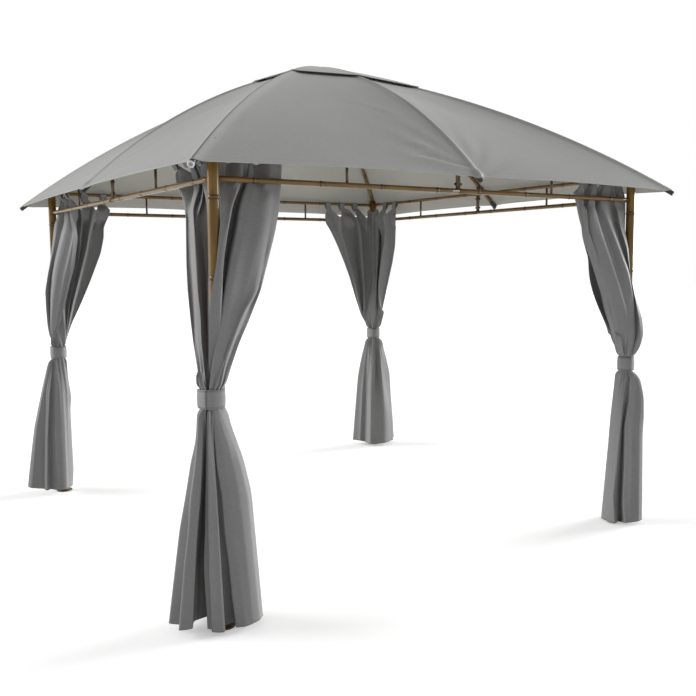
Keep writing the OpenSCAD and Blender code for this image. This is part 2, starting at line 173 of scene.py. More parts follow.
# Lines down each curtain that its main folds follow: read off, placed through the solved camera and then
# set in round numbers. Each has its place along the top edge in metres, and points (stage, across,
# out) with across and out in millimetres from the post: across runs to the viewer's right and out towards
# the viewer. The stage is 0 at the top edge, 1 at the tieback and 2 at the bottom edge, and a point at 1.001
# lets a line leave the tieback at another place.
FRONT_LEFT_LINES = [
    (0.000, [(0, 300, -150), (0.1, 295, -150), (0.2, 285, -140), (0.32, 260, -120), (0.45, 225, -90),
             (0.58, 190, -60), (0.7, 140, -20), (0.8, 95, 10), (0.9, 60, 20), (1, 30, 20), (1.001, -50, 40),
             (1.15, -55, 45), (1.4, -65, 55), (1.55, -70, 60), (1.7, -80, 65), (1.85, -75, 70),
             (2, -70, 70)]),
    (0.022, [(0.05, 290, -145), (0.2, 270, -130), (0.32, 250, -110), (0.45, 215, -80), (0.52, 190, -65),
             (0.58, 180, -65), (0.64, 145, -40), (0.7, 120, -10), (0.8, 75, 10), (0.9, 40, 20),
             (1, 20, 25)]),
    (0.045, [(0.12, 265, -130), (0.26, 250, -110), (0.41, 220, -90), (0.51, 195, -60), (0.59, 175, -30),
             (0.65, 130, 10), (0.7, 105, 20), (0.8, 65, 40), (0.9, 30, 45), (1, 10, 45), (1.001, -45, 45),
             (1.15, -50, 60), (1.4, -55, 80), (1.7, -60, 95), (2, -55, 100)]),
    (0.090, [(0.15, 215, -100), (0.31, 190, -70), (0.46, 155, -40), (0.62, 115, -5), (0.74, 70, 25),
             (0.84, 30, 40), (0.95, -5, 45), (1, -20, 45), (1.001, -35, 45), (1.15, -35, 65),
             (1.4, -25, 85), (1.55, -20, 95), (1.7, -20, 100), (2, -10, 105)]),
    (0.112, [(0.1, 185, -110), (0.2, 150, -90), (0.32, 125, -60), (0.45, 95, -25), (0.58, 70, 5),
             (0.7, 50, 30), (0.8, 20, 45), (0.9, -5, 50), (1, -25, 45), (1.15, -25, 60), (1.4, -15, 80),
             (1.55, -10, 90), (1.7, -5, 95), (2, 5, 100)]),
    (0.134, [(0.1, 145, -110), (0.2, 110, -85), (0.32, 90, -55), (0.45, 60, -25), (0.58, 35, 10),
             (0.7, 15, 40), (0.8, -5, 50), (0.9, -25, 55), (1, -35, 50), (1.15, -25, 35), (1.4, -25, 35),
             (1.7, -15, 35), (2, 0, 35)]),
    (0.150, [(0.1, 135, -165), (0.2, 100, -155), (0.32, 75, -140), (0.45, 50, -105), (0.58, 30, -60),
             (0.7, 30, 10), (0.8, 10, 35), (0.9, -15, 40), (1, -30, 40), (1.15, -15, 40), (1.4, 5, 35),
             (1.55, 20, 35), (1.7, 40, 25), (2, 60, 5)]),
    (0.172, [(0.1, 125, -165), (0.2, 85, -160), (0.32, 60, -140), (0.45, 35, -105), (0.58, 25, -60),
             (0.7, 30, 0), (0.8, 15, 30), (0.9, -10, 35), (1, -30, 40), (1.15, -20, 50), (1.25, -15, 60),
             (1.4, 5, 65), (1.55, 10, 70), (1.7, 25, 70), (1.85, 35, 75), (2, 50, 75)]),
    (0.198, [(0.1, 120, -55), (0.2, 80, 0), (0.32, 55, 35), (0.45, 35, 45), (0.58, 25, 50), (0.7, 15, 45),
             (0.8, 5, 45), (0.9, -15, 40), (1, -30, 40), (1.15, 5, 55), (1.25, 20, 60), (1.4, 40, 70),
             (1.7, 65, 75), (2, 90, 80)]),
    (0.222, [(0.1, 80, -65), (0.2, 55, -10), (0.32, 40, 25), (0.45, 20, 35), (0.58, 0, 40), (0.7, -10, 40),
             (0.8, -20, 40), (0.9, -25, 40), (1, -30, 40), (1.15, 35, 45), (1.25, 55, 50), (1.4, 80, 60),
             (1.7, 105, 65), (2, 125, 65)]),
    (0.245, [(0.1, 35, -45), (0.2, 30, 10), (0.32, 20, 30), (0.45, 5, 40), (0.58, -20, 45), (0.7, -35, 45),
             (0.8, -35, 45), (0.9, -35, 45), (1, -20, 40), (1.15, 55, 25), (1.25, 85, 30), (1.4, 115, 35),
             (1.7, 135, 40), (2, 155, 40)]),
    (0.270, [(0.12, 50, -80), (0.31, 30, -30), (0.46, 30, -5), (0.62, 30, 5), (0.87, 30, 10), (1, 30, -5),
             (1.07, 50, -5), (1.15, 75, -5), (1.25, 105, -10), (1.4, 135, -10), (1.55, 145, -10),
             (1.7, 155, -10), (2, 175, -10)]),
    (0.300, [(0.87, 30, -20), (1, 20, -25), (1.22, 60, -50), (1.54, 110, -90), (2, 140, -105)]),
    (0.450, [(0.12, -15, -180), (0.31, -15, -165), (0.46, -15, -125), (0.62, -20, -70), (0.8, -30, -25),
             (0.9, -35, 0), (1, -35, 15)]),
    (0.530, [(0.15, -60, -295), (0.34, -50, -250), (0.5, -40, -195), (0.65, -40, -140), (0.8, -40, -70),
             (0.9, -40, -20), (1, -45, 5)]),
    (0.568, [(0.09, -35, -215), (0.15, -45, -230), (0.19, -55, -235), (0.24, -80, -260), (0.32, -70, -235),
             (0.45, -65, -180), (0.58, -60, -125), (0.7, -60, -70), (0.8, -60, -35), (0.9, -55, 0),
             (1, -55, 15)]),
    (0.586, [(0.09, -45, -300), (0.15, -60, -310), (0.2, -80, -290), (0.25, -85, -260), (0.32, -80, -225),
             (0.45, -70, -170), (0.58, -70, -115), (0.7, -65, -65), (0.8, -60, -30), (0.9, -55, 5),
             (1, -55, 20)]),
    (0.604, [(0.09, -50, -230), (0.15, -70, -245), (0.21, -90, -260), (0.32, -85, -215), (0.45, -80, -160),
             (0.58, -75, -105), (0.7, -65, -60), (0.8, -65, -20), (0.9, -55, 10), (1, -55, 25),
             (1.001, -85, 5), (1.15, -100, 0), (1.25, -125, 5), (1.4, -150, 10), (1.55, -180, 15),
             (1.7, -200, 20), (1.85, -220, 25), (2, -240, 25)]),
    (0.640, [(0.2, -105, -320), (0.43, -100, -215), (0.6, -95, -140), (0.75, -90, -70), (0.87, -75, -15),
             (1, -70, 10), (1.001, -80, 20), (1.15, -90, 20), (1.25, -100, 25), (1.4, -120, 30),
             (1.55, -130, 35), (1.7, -150, 40), (2, -175, 40)]),
    (0.666, [(0.2, -115, -350), (0.43, -115, -235), (0.6, -110, -155), (0.75, -100, -85), (0.87, -85, -20),
             (1, -80, 15), (1.001, -75, 35), (1.15, -95, 50), (1.25, -105, 60), (1.4, -130, 70),
             (1.55, -140, 80), (1.7, -160, 85), (1.85, -175, 90), (2, -190, 95)]),
    (0.700, [(0.1, -135, -400), (0.2, -125, -360), (0.32, -125, -300), (0.45, -125, -230),
             (0.58, -120, -160), (0.7, -110, -100), (0.8, -100, -60), (0.9, -85, -20), (1, -80, 10),
             (1.001, -70, 40), (1.15, -80, 60), (1.4, -105, 80), (1.7, -130, 90), (2, -160, 100)]),
    (0.728, [(0.2, -120, -375), (0.51, -115, -215), (0.72, -105, -110), (0.9, -85, -25), (1, -70, 30),
             (1.15, -70, 60), (1.25, -75, 70), (1.4, -85, 80), (1.55, -100, 85), (1.7, -110, 90),
             (1.85, -120, 95), (2, -130, 95)]),
    (0.748, [(0.1, -140, -395), (0.2, -120, -360), (0.51, -110, -225), (0.72, -95, -120), (0.9, -70, -20),
             (1, -55, 35), (1.15, -65, 35), (1.4, -80, 20), (1.7, -115, 10), (2, -130, 20)]),
    (0.770, [(0.03, -175, -430), (0.08, -150, -420), (0.14, -135, -400), (0.27, -120, -345),
             (0.51, -110, -240), (0.72, -95, -125), (0.93, -65, -10), (1, -50, 40), (1.15, -50, 20),
             (1.4, -45, -40), (1.7, -50, -50), (2, -50, -25)]),
]
FRONT_RIGHT_LINES = [
    (0.000, [(0.11, -285, 290), (0.2, -265, 270), (0.29, -225, 235), (0.38, -190, 195), (0.46, -180, 170),
             (0.57, -155, 140), (0.7, -130, 105), (0.81, -100, 70), (0.93, -70, 40), (1, -50, 10),
             (1.13, -65, -25), (1.49, -80, -45), (2, -100, -60)]),
    (0.045, [(0.11, -240, 330), (0.27, -225, 300), (0.39, -180, 250), (0.5, -155, 215), (0.61, -130, 180),
             (0.73, -100, 150), (0.85, -70, 100), (1, -45, 30), (1.12, -70, 30), (1.31, -85, 30),
             (1.51, -95, 30), (2, -125, 35)]),
    (0.150, [(0.11, -215, 270), (0.27, -185, 260), (0.45, -130, 230), (0.61, -85, 190), (0.78, -40, 135),
             (1, -15, 40), (1.12, -40, 60), (1.38, -55, 80), (1.63, -70, 90), (2, -85, 100)]),
    (0.205, [(0.11, -200, 220), (0.27, -150, 210), (0.45, -85, 180), (0.61, -35, 150), (0.78, 5, 110),
             (1, 0, 45), (1.17, -15, 75), (1.38, -25, 100), (1.63, -40, 110), (1.83, -55, 120),
             (2, -40, 125)]),
    (0.240, [(0.09, -190, 175), (0.23, -130, 155), (0.45, -60, 130), (0.62, -5, 110), (0.73, 20, 90),
             (0.84, 30, 75), (1, 10, 45), (1.17, 5, 40), (1.38, -10, 40), (2, -15, 40)]),
    (0.270, [(0.09, -170, 180), (0.18, -130, 170), (0.34, -65, 155), (0.5, -5, 125), (0.6, 20, 95),
             (0.69, 35, 65), (0.78, 40, 55), (0.87, 45, 50), (1, 20, 40), (1.17, 30, 70), (1.35, 0, 90),
             (1.62, 5, 100), (1.87, 0, 110), (2, 15, 120)]),
    (0.300, [(0.1, -110, 60), (0.23, -85, 55), (0.36, -45, 55), (0.51, 5, 50), (0.62, 20, 45),
             (0.71, 35, 40), (0.78, 45, 35), (0.87, 50, 35), (1, 30, 40), (1.08, 45, 60), (1.18, 55, 70),
             (1.38, 40, 90), (1.63, 45, 100), (2, 50, 105)]),
    (0.335, [(0.08, -85, 90), (0.23, -55, 95), (0.35, -15, 90), (0.52, 10, 75), (0.63, 35, 70),
             (0.75, 60, 70), (0.85, 70, 65), (1, 40, 30), (1.06, 70, 45), (1.18, 85, 50), (1.38, 80, 70),
             (1.63, 85, 75), (2, 90, 80)]),
    (0.362, [(0.05, -35, 40), (0.2, -30, 45), (0.32, -5, 50), (0.49, 10, 45), (0.61, 35, 40),
             (0.68, 60, 35), (0.76, 85, 30), (0.85, 95, 25), (0.93, 80, 20), (1, 45, 15), (1.06, 85, 20),
             (1.17, 105, 25), (1.3, 110, 25), (1.42, 105, 30), (2, 115, 30)]),
    (0.390, [(0.05, -35, 5), (0.29, -30, 5), (0.49, -20, 30), (0.69, 15, 35), (0.88, 25, 30), (1, 20, 35),
             (1.18, 70, 20), (1.38, 65, 25), (2, 70, 30)]),
    (0.430, [(0.05, -35, -20), (0.49, -35, 10), (0.88, -30, 20), (1, -20, 30), (1.18, 0, 35),
             (2, -15, 35)]),
    (0.470, [(0.88, -40, 5), (1, -40, 10), (1.18, -50, 15), (1.38, -65, 15), (2, -90, 15)]),
    (0.755, [(0.1, -305, -200), (0.25, -270, -170), (0.39, -205, -140), (0.51, -190, -110),
             (0.73, -135, -60), (0.9, -90, -20), (1, -40, -20)]),
]
BACK_LEFT_LINES = [
    (0.000, [(0.03, 380, -70), (0.13, 335, -70), (0.2, 335, -70), (0.32, 310, -65), (0.52, 235, -60),
             (0.69, 165, -50), (0.82, 105, -45), (0.94, 60, -40), (1, 40, -20), (1.29, 30, -60),
             (2, 20, -100)]),
    (0.095, [(0.05, 280, -90), (0.32, 225, -85), (0.71, 120, -60), (1, 40, -15)]),
    (0.130, [(0.04, 265, -20), (0.32, 210, -20), (0.71, 105, -10), (1, 40, 0)]),
    (0.185, [(0.05, 215, -70), (0.32, 180, -65), (0.72, 90, -45), (1, 40, 5)]),
    (0.220, [(0.04, 195, 5), (0.32, 165, 5), (0.73, 80, 5), (1, 40, 10)]),
    (0.275, [(0.06, 150, -50), (0.32, 135, -50), (0.73, 65, -30), (1, 40, 10)]),
    (0.315, [(0.06, 110, 10), (0.32, 95, 10), (0.73, 50, 15), (0.9, 50, 25), (1, 40, 20)]),
    (0.360, [(0.1, 40, 20), (0.5, 30, 30), (0.9, 40, 30), (1, 40, 20), (1.17, 55, 15), (1.3, 70, 20),
             (1.41, 60, 20), (1.88, 65, 20), (2, 55, 20)]),
    (0.400, [(0.16, 10, 35), (0.47, -30, 35), (0.72, -40, 30), (0.9, -20, 35), (1, 15, 40), (1.09, 30, 45),
             (1.24, 45, 50), (1.53, 40, 60), (2, 40, 70)]),
    (0.440, [(0.1, 35, 90), (0.31, -5, 90), (0.47, -45, 85), (0.6, -70, 80), (0.72, -70, 70),
             (0.85, -65, 50), (0.93, -55, 25), (1, -10, 40), (1.09, 0, 50), (1.24, 15, 70), (1.53, 20, 85),
             (2, 15, 110)]),
    (0.480, [(0.11, 80, 115), (0.22, 45, 100), (0.38, 0, 75), (0.51, -25, 60), (0.66, -40, 50),
             (0.84, -45, 40), (1, -25, 40), (1.09, -30, 50), (1.23, -30, 70), (1.56, -45, 90),
             (2, -45, 110)]),
    (0.520, [(0.13, 95, 205), (0.28, 55, 195), (0.47, 0, 165), (0.66, -30, 120), (0.84, -45, 75),
             (1, -30, 35), (1.09, -40, 40), (1.23, -55, 40), (1.56, -80, 50), (2, -90, 60)]),
    (0.560, [(0.13, 115, 235), (0.28, 75, 225), (0.47, 20, 195), (0.66, -15, 150), (0.84, -40, 100),
             (0.95, -45, 50), (1, -40, 25), (1.09, -50, 50), (1.23, -70, 65), (1.56, -95, 80),
             (2, -115, 100)]),
    (0.605, [(0.2, 130, 275), (0.45, 70, 230), (0.66, 25, 165), (0.84, -15, 110), (0.94, -40, 50),
             (1, -40, 20), (1.09, -60, 30), (1.23, -90, 40), (1.56, -110, 45), (2, -130, 55)]),
    (0.650, [(0.2, 140, 300), (0.43, 105, 250), (0.54, 80, 210), (0.7, 40, 155), (0.84, 5, 105),
             (0.94, -35, 55), (1, -45, 10), (1.09, -75, 25), (1.24, -110, 35), (1.53, -165, 35),
             (2, -215, 40)]),
    (0.695, [(0.04, 135, 340), (0.22, 150, 320), (0.43, 120, 260), (0.54, 90, 220), (0.7, 50, 165),
             (0.84, 15, 105), (0.94, -25, 60), (1, -45, 0), (1.09, -85, 0), (1.24, -120, 5),
             (1.53, -180, 5), (1.83, -220, 10), (2, -240, 10)]),
]
BACK_RIGHT_LINES = [
    (0.000, [(0.05, -395, 300), (0.12, -350, 285), (0.25, -295, 250), (0.4, -240, 205), (0.54, -195, 155),
             (0.72, -150, 90), (0.89, -100, 30), (1, -40, -20)]),
    (0.100, [(0.1, -270, 275), (0.25, -230, 240), (0.4, -195, 195), (0.54, -160, 155), (0.72, -130, 105),
             (0.89, -90, 50), (1, -45, 0)]),
    (0.200, [(0.05, -170, 100), (0.25, -150, 60), (0.4, -140, 45), (0.63, -105, 35), (0.88, -80, 20),
             (1, -45, 10), (1.17, -85, 5), (1.35, -105, 10), (1.52, -125, 10), (1.73, -150, 10),
             (2, -170, 10)]),
    (0.280, [(0.1, -105, 125), (0.3, -95, 125), (0.49, -80, 110), (0.69, -70, 75), (0.89, -75, 45),
             (1, -40, 20), (1.19, -70, 40), (1.49, -95, 70), (2, -120, 85)]),
    (0.370, [(0.06, -40, 30), (0.3, -30, 30), (0.63, -25, 30), (0.77, -50, 40), (0.89, -65, 40),
             (1, -30, 35), (1.19, -50, 45), (1.49, -70, 60), (2, -85, 75)]),
    (0.440, [(0.06, 0, 85), (0.3, 10, 90), (0.49, 10, 95), (0.63, 0, 90), (0.77, -25, 80), (0.89, -50, 60),
             (1, -20, 40), (1.19, -20, 65), (1.49, -35, 105), (2, -45, 130)]),
    (0.505, [(0.06, 50, 80), (0.3, 50, 85), (0.49, 40, 85), (0.69, 30, 80), (0.84, 20, 65), (1, 0, 45),
             (1.15, 10, 60), (1.33, 10, 85), (1.59, 5, 115), (2, 0, 135)]),
    (0.550, [(0.07, 70, 30), (0.22, 75, 30), (0.43, 60, 35), (0.63, 45, 40), (0.84, 40, 40), (1, 20, 40),
             (1.15, 25, 25), (1.33, 20, 45), (1.59, 30, 105), (2, 40, 130)]),
    (0.600, [(0.1, 90, 145), (0.28, 85, 140), (0.49, 65, 120), (0.74, 50, 85), (0.89, 45, 55), (1, 35, 30),
             (1.15, 60, 50), (1.33, 70, 70), (1.59, 90, 90), (2, 105, 100)]),
    (0.650, [(0.1, 125, 200), (0.49, 90, 140), (0.74, 65, 90), (0.89, 55, 45), (1, 45, 5), (1.17, 95, 10),
             (1.37, 120, 10), (1.55, 135, 10), (1.78, 160, 10), (2, 170, 10)]),
    (0.805, [(0.02, 190, 310), (0.26, 185, 260), (0.4, 165, 210), (0.57, 130, 150), (0.75, 95, 90),
             (0.94, 55, 30), (1, 40, -10)]),
]
# Corners: signs of x and y; reach of the curtain along the two sides and slackness of its two legs; box of
# its bottom edge (p0, p1, q0, q1); the tieback's middle, radius and the angle in degrees of its end; the
# bottom edge's clearance above the ground and its rise from one side to the other; the top edge's dip
# between the tabs on each leg; and the fold lines
CORNERS = {
    "front_left": dict(x=-1, y=-1, reach=(0.340, 0.480), slack=(1.7, 2.6),
                       hem=(-0.165, 0.170, -0.130, 0.215),
                       tie=(-0.0246, 0.0111), band=0.0545, seam=179, clear=0.024, tilt=0.024,
                       sag=(0.020, 0.045), lines=FRONT_LEFT_LINES),
    "front_right": dict(x=1, y=-1, reach=(0.440, 0.365), slack=(1.3, 1.8),
                        hem=(-0.115, 0.090, -0.120, 0.095),
                        tie=(0.0025, 0.0030), band=0.0440, seam=150, clear=0.004, tilt=0,
                        sag=(TAB_SAG, TAB_SAG), lines=FRONT_RIGHT_LINES),
    "back_left": dict(x=-1, y=1, reach=(0.385, 0.360), slack=(1.4, 2.2),
                      hem=(-0.190, 0.075, -0.150, 0.110),
                      tie=(0, 0), band=0.0475, seam=200, clear=0.030, tilt=0,
                      sag=(TAB_SAG, TAB_SAG), lines=BACK_LEFT_LINES),
    "back_right": dict(x=1, y=1, reach=(0.490, 0.365), slack=(1.1, 1.4),
                       hem=(-0.140, 0.145, -0.140, 0.145),
                       tie=(0, 0), band=0.0500, seam=200, clear=0.020, tilt=0,
                       sag=(TAB_SAG, TAB_SAG), lines=BACK_RIGHT_LINES),
}
# Sides: turn about Z in degrees, and the names of the halves at its start and end
SIDES = {
    "front": (0, "left", "right"),
    "right": (90, "front", "back"),
    "back": (180, "right", "left"),
    "left": (270, "back", "front"),
}


# Small helpers for colours, nodes and meshes

def linear(hex_colour):
    """sRGB hex to linear RGBA, by the standard curve."""
    c = np.array([int(hex_colour[i:i + 2], 16) for i in (1, 3, 5)]) / 255
    c = np.where(c <= 0.04045, c / 12.92, ((c + 0.055) / 1.055) ** 2.4)
    return (*c.tolist(), 1.0)


def wire(tree, node, inputs):
    """Give a node its inputs: a socket is linked, and anything else becomes the input's own value."""
    for key, value in inputs.items():
        if isinstance(value, bpy.types.NodeSocket):
            tree.links.new(value, node.inputs[key])
        else:
            node.inputs[key].default_value = value


def add(tree, kind, inputs=None, stops=(), **settings):
    """Add a node: settings are its properties, and stops are a colour ramp's places and hex colours."""
    node = tree.nodes.new(kind)
    for key, value in settings.items():
        setattr(node, key, value)
    for _ in stops[2:]:
        node.color_ramp.elements.new(0.5)
    for index, (place, colour) in enumerate(stops):
        node.color_ramp.elements[index].position = place
        node.color_ramp.elements[index].color = linear(colour)
    wire(tree, node, inputs or {})
    return node


def material(name):
    """A new node material with an empty tree, its Principled shader and its output linked."""
    mat = bpy.data.materials.new(name)
    mat.use_nodes = True
    tree = mat.node_tree
    tree.nodes.clear()
    shader = add(tree, "ShaderNodeBsdfPrincipled")
    add(tree, "ShaderNodeOutputMaterial", {"Surface": shader.outputs["BSDF"]})
    return mat, tree, shader


def smooth(x, lo, hi):
    """Smooth step from 0 at lo to 1 at hi."""
    t = np.clip((x - lo) / (hi - lo), 0, 1)
    return t * t * (3 - 2 * t)


def bell(x, width):
    """Bell curve: 1 at 0, and about a third at the given width."""
    return np.exp(-(x / width) ** 2)


def pairs(u, v):
    """Pairs of u and v, both spread over their common grid."""
    return np.stack(np.broadcast_arrays(u, v), -1)


def grid_faces(rows, cols, wrap=False, start=0):
    """Quads of a rows by cols grid of points, counted row by row; wrap closes each row on itself."""
    i, j = np.meshgrid(np.arange(rows - 1), np.arange(cols if wrap else cols - 1), indexing="ij")
    k = (j + 1) % cols
    quads = np.stack([i * cols + j, i * cols + k, (i + 1) * cols + k, (i + 1) * cols + j], -1)
    return start + quads.reshape(-1, 4)


def mesh_object(name, points, faces, mat, uv, values):
    """A mesh object at the origin from arrays of points and faces, with a UV and named values per point."""
    mesh = bpy.data.meshes.new(name)
    mesh.from_pydata(points.reshape(-1, 3), [], [list(face) for face in faces])
    loops = np.empty(len(mesh.loops), int)
    mesh.loops.foreach_get("vertex_index", loops)
    layer = mesh.uv_layers.new(name="UVMap")
    layer.data.foreach_set("uv", uv.reshape(-1, 2)[loops].ravel().astype(np.float32))
    for key, value in values.items():
        layer = mesh.attributes.new(key, "FLOAT", "POINT")
        layer.data.foreach_set("value", value.ravel().astype(np.float32))
    mesh.polygons.foreach_set("use_smooth", np.ones(len(mesh.polygons), bool))
    mesh.materials.append(mat)
    piece = bpy.data.objects.new(name, mesh)
    bpy.context.scene.collection.objects.link(piece)
    return piece


def thicken(piece, thickness, offset=0):
    """Give a sheet its thickness: offset 0 grows it to both sides, and -1 only behind its points."""
    thick = piece.modifiers.new("cloth", "SOLIDIFY")
    thick.thickness = thickness
    thick.offset = offset
    return thick


def finish_piece(piece, slot, *nodes):
    """Ride the piece on the one body and hide the solids that it stands for; the name of its finish, slot,
    is not used.
    """
    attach(piece, "root")
    if nodes:
        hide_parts(*nodes)
    return piece


class Parts:
    """Gathers several grids into one mesh: points, faces, UVs and named values."""

    def __init__(self):
        self.points, self.faces, self.uvs, self.values = [], [], [], {}
        self.count = 0

    def grid(self, points, uv, wrap=False, ends=False, **values):
        """Add a grid of points; ends closes the first and last ring with a face."""
        rows, cols = points.shape[:2]
        self.faces += grid_faces(rows, cols, wrap, self.count).tolist()
        if ends:
            first = range(self.count + cols - 1, self.count - 1, -1)
            last = range(self.count + (rows - 1) * cols, self.count + rows * cols)
            self.faces += [first, last]
        self.points.append(points.reshape(-1, 3))
        self.uvs.append(uv.reshape(-1, 2))
        for key, value in values.items():
            self.values.setdefault(key, []).append(np.broadcast_to(value, (rows, cols)).ravel())
        self.count += rows * cols

    def build(self, name, mat):
        """Make the mesh object."""
        values = {key: np.concatenate(v) for key, v in self.values.items()}
        points, uv = np.concatenate(self.points), np.concatenate(self.uvs)
        return mesh_object(name, points, self.faces, mat, uv, values)


# Materials

def bamboo_tube(name, base, dark, pale, seed, gloss):
    """Steel tube with a lacquered bamboo print: lengthwise fibres, mottling and dark lines at the rings."""
    mat, tree, shader = material(name)
    uv = add(tree, "ShaderNodeUVMap", uv_map="UVMap").outputs["UV"]
    # Fibres about 3 mm wide and 250 mm long; mottling about 40 mm across and 200 mm long
    fibre_at = add(tree, "ShaderNodeMapping",
                   {"Vector": uv, "Scale": (330, 4, 1), "Location": (seed, 0, 0)}).outputs["Vector"]
    fibre = add(tree, "ShaderNodeTexNoise", {"Vector": fibre_at, "Scale": 1.0, "Detail": 3.0})
    patch_at = add(tree, "ShaderNodeMapping",
                   {"Vector": uv, "Scale": (25, 5, 1), "Location": (0, seed, 0)}).outputs["Vector"]
    patch = add(tree, "ShaderNodeTexNoise", {"Vector": patch_at, "Scale": 1.0, "Detail": 2.0})
    both = add(tree, "ShaderNodeMath", {0: fibre.outputs["Fac"], 1: patch.outputs["Fac"]}, operation="ADD")
    tone = add(tree, "ShaderNodeMath", {0: both.outputs["Value"], 1: 0.5}, operation="MULTIPLY")
    colour = add(tree, "ShaderNodeValToRGB", {"Fac": tone.outputs["Value"]},
                 stops=[(0.32, dark), (0.5, base), (0.68, pale)])
    # Distance to the nearest ring: a dark line on it and a browner stretch beside it
    gap = add(tree, "ShaderNodeAttribute", attribute_name="ring_gap").outputs["Fac"]
    near = add(tree, "ShaderNodeMapRange", {"Value": gap, "From Min": 0.0, "From Max": 0.045})
    shade = add(tree, "ShaderNodeValToRGB", {"Fac": near.outputs["Result"]},
                stops=[(0.0, "#e9e4d8"), (0.10, "#e0d8c6"), (0.15, "#6b5a3e"), (0.20, "#7a6848"),
                       (0.27, "#ebe6da"), (1.0, "#ffffff")])
    tinted = add(tree, "ShaderNodeMix",
                 {"Factor": 1.0, 6: colour.outputs["Color"], 7: shade.outputs["Color"]},
                 data_type="RGBA", blend_type="MULTIPLY")
    # Thin uprights are darkened towards a deep brown by the shade value of their points: partly their own
    # deeper brown, partly painted shade from the canopy above them
    deep = add(tree, "ShaderNodeAttribute", attribute_name="shade").outputs["Fac"]
    browned_and_shaded = add(tree, "ShaderNodeMix", {"Factor": deep, 6: tinted.outputs[2], 7: linear("#2b2010")},
                  data_type="RGBA")
    rough = add(tree, "ShaderNodeMapRange", {"Value": fibre.outputs["Fac"], "To Min": 0.24, "To Max": 0.36})
    bump = add(tree, "ShaderNodeBump",
               {"Height": fibre.outputs["Fac"], "Strength": 0.12, "Distance": 0.0006})
    wire(tree, shader, {"Base Color": browned_and_shaded.outputs[2], "Roughness": rough.outputs["Result"],
                        "Normal": bump.outputs["Normal"], "Specular IOR Level": 0.25, "Coat Weight": gloss,
                        "Coat Roughness": 0.16, "Coat Tint": linear("#fff2d2")})
    return mat


def woven_cloth(name, base, dark, pale, thread, rough):
    """Coated polyester: plain weave, faint cloudy shading and a soft sheen.

    Real threads are about 0.5 mm and too fine to show, so the weave is drawn at the given coarser spacing.
    """
    mat, tree, shader = material(name)
    uv = add(tree, "ShaderNodeUVMap", uv_map="UVMap").outputs["UV"]
    warp, weft = (
        add(tree, "ShaderNodeTexWave",
            {"Vector": uv, "Scale": 1 / (thread * 20), "Distortion": 0.6, "Detail": 1.0},
            bands_direction=direction).outputs["Fac"] for direction in ("X", "Y"))
    weave = add(tree, "ShaderNodeMath", {0: warp, 1: weft}, operation="MULTIPLY")
    # Clouds about 450 mm across; slubs of thread about 25 mm long and 11 mm wide
    cloud = add(tree, "ShaderNodeTexNoise", {"Vector": uv, "Scale": 2.2, "Detail": 4.0, "Roughness": 0.6})
    slub_at = add(tree, "ShaderNodeMapping", {"Vector": uv, "Scale": (40, 90, 1)}).outputs["Vector"]
    slub = add(tree, "ShaderNodeTexNoise", {"Vector": slub_at, "Scale": 1.0, "Detail": 2.0})
    both = add(tree, "ShaderNodeMath", {0: cloud.outputs["Fac"], 1: slub.outputs["Fac"]}, operation="ADD")
    tone = add(tree, "ShaderNodeMath", {0: both.outputs["Value"], 1: 0.5}, operation="MULTIPLY")
    colour = add(tree, "ShaderNodeValToRGB", {"Fac": tone.outputs["Value"]},
                 stops=[(0.3, dark), (0.5, base), (0.7, pale)])
    # Sewn edges: the hem value makes turned hems and bindings paler, and the seam value darkens stitches
    hem = add(tree, "ShaderNodeAttribute", attribute_name="hem").outputs["Fac"]
    sewn = add(tree, "ShaderNodeMix", {"Factor": hem, 6: colour.outputs["Color"], 7: linear(pale)},
               data_type="RGBA")
    seam = add(tree, "ShaderNodeAttribute", attribute_name="seam").outputs["Fac"]
    stitched = add(tree, "ShaderNodeMix", {"Factor": seam, 6: sewn.outputs[2], 7: linear("#484847")},
                   data_type="RGBA")
    fine = add(tree, "ShaderNodeBump",
               {"Height": weave.outputs["Value"], "Strength": 0.15, "Distance": 0.0006})
    wide = add(tree, "ShaderNodeBump", {"Height": cloud.outputs["Fac"], "Strength": 0.05, "Distance": 0.006,
                                        "Normal": fine.outputs["Normal"]})
    wire(tree, shader, {"Base Color": stitched.outputs[2], "Normal": wide.outputs["Normal"],
                        "Roughness": rough, "Sheen Weight": 0.06, "Sheen Roughness": 0.5,
                        "Specular IOR Level": 0.2})
    return mat


def grained(name, base, pale, rough, metallic, grain):
    """Paint, plating or moulded plastic: a fine grain of the given size in tone, gloss and surface."""
    mat, tree, shader = material(name)
    place = add(tree, "ShaderNodeTexCoord").outputs["Object"]
    noise = add(tree, "ShaderNodeTexNoise",
                {"Vector": place, "Scale": 1 / grain, "Detail": 4.0}).outputs["Fac"]
    colour = add(tree, "ShaderNodeValToRGB", {"Fac": noise}, stops=[(0.35, base), (0.75, pale)])
    gloss = add(tree, "ShaderNodeMapRange",
                {"Value": noise, "To Min": rough - 0.08, "To Max": rough + 0.08})
    bump = add(tree, "ShaderNodeBump", {"Height": noise, "Strength": 0.15, "Distance": grain / 8})
    wire(tree, shader, {"Base Color": colour.outputs["Color"], "Roughness": gloss.outputs["Result"],
                        "Normal": bump.outputs["Normal"], "Metallic": metallic})
    return mat


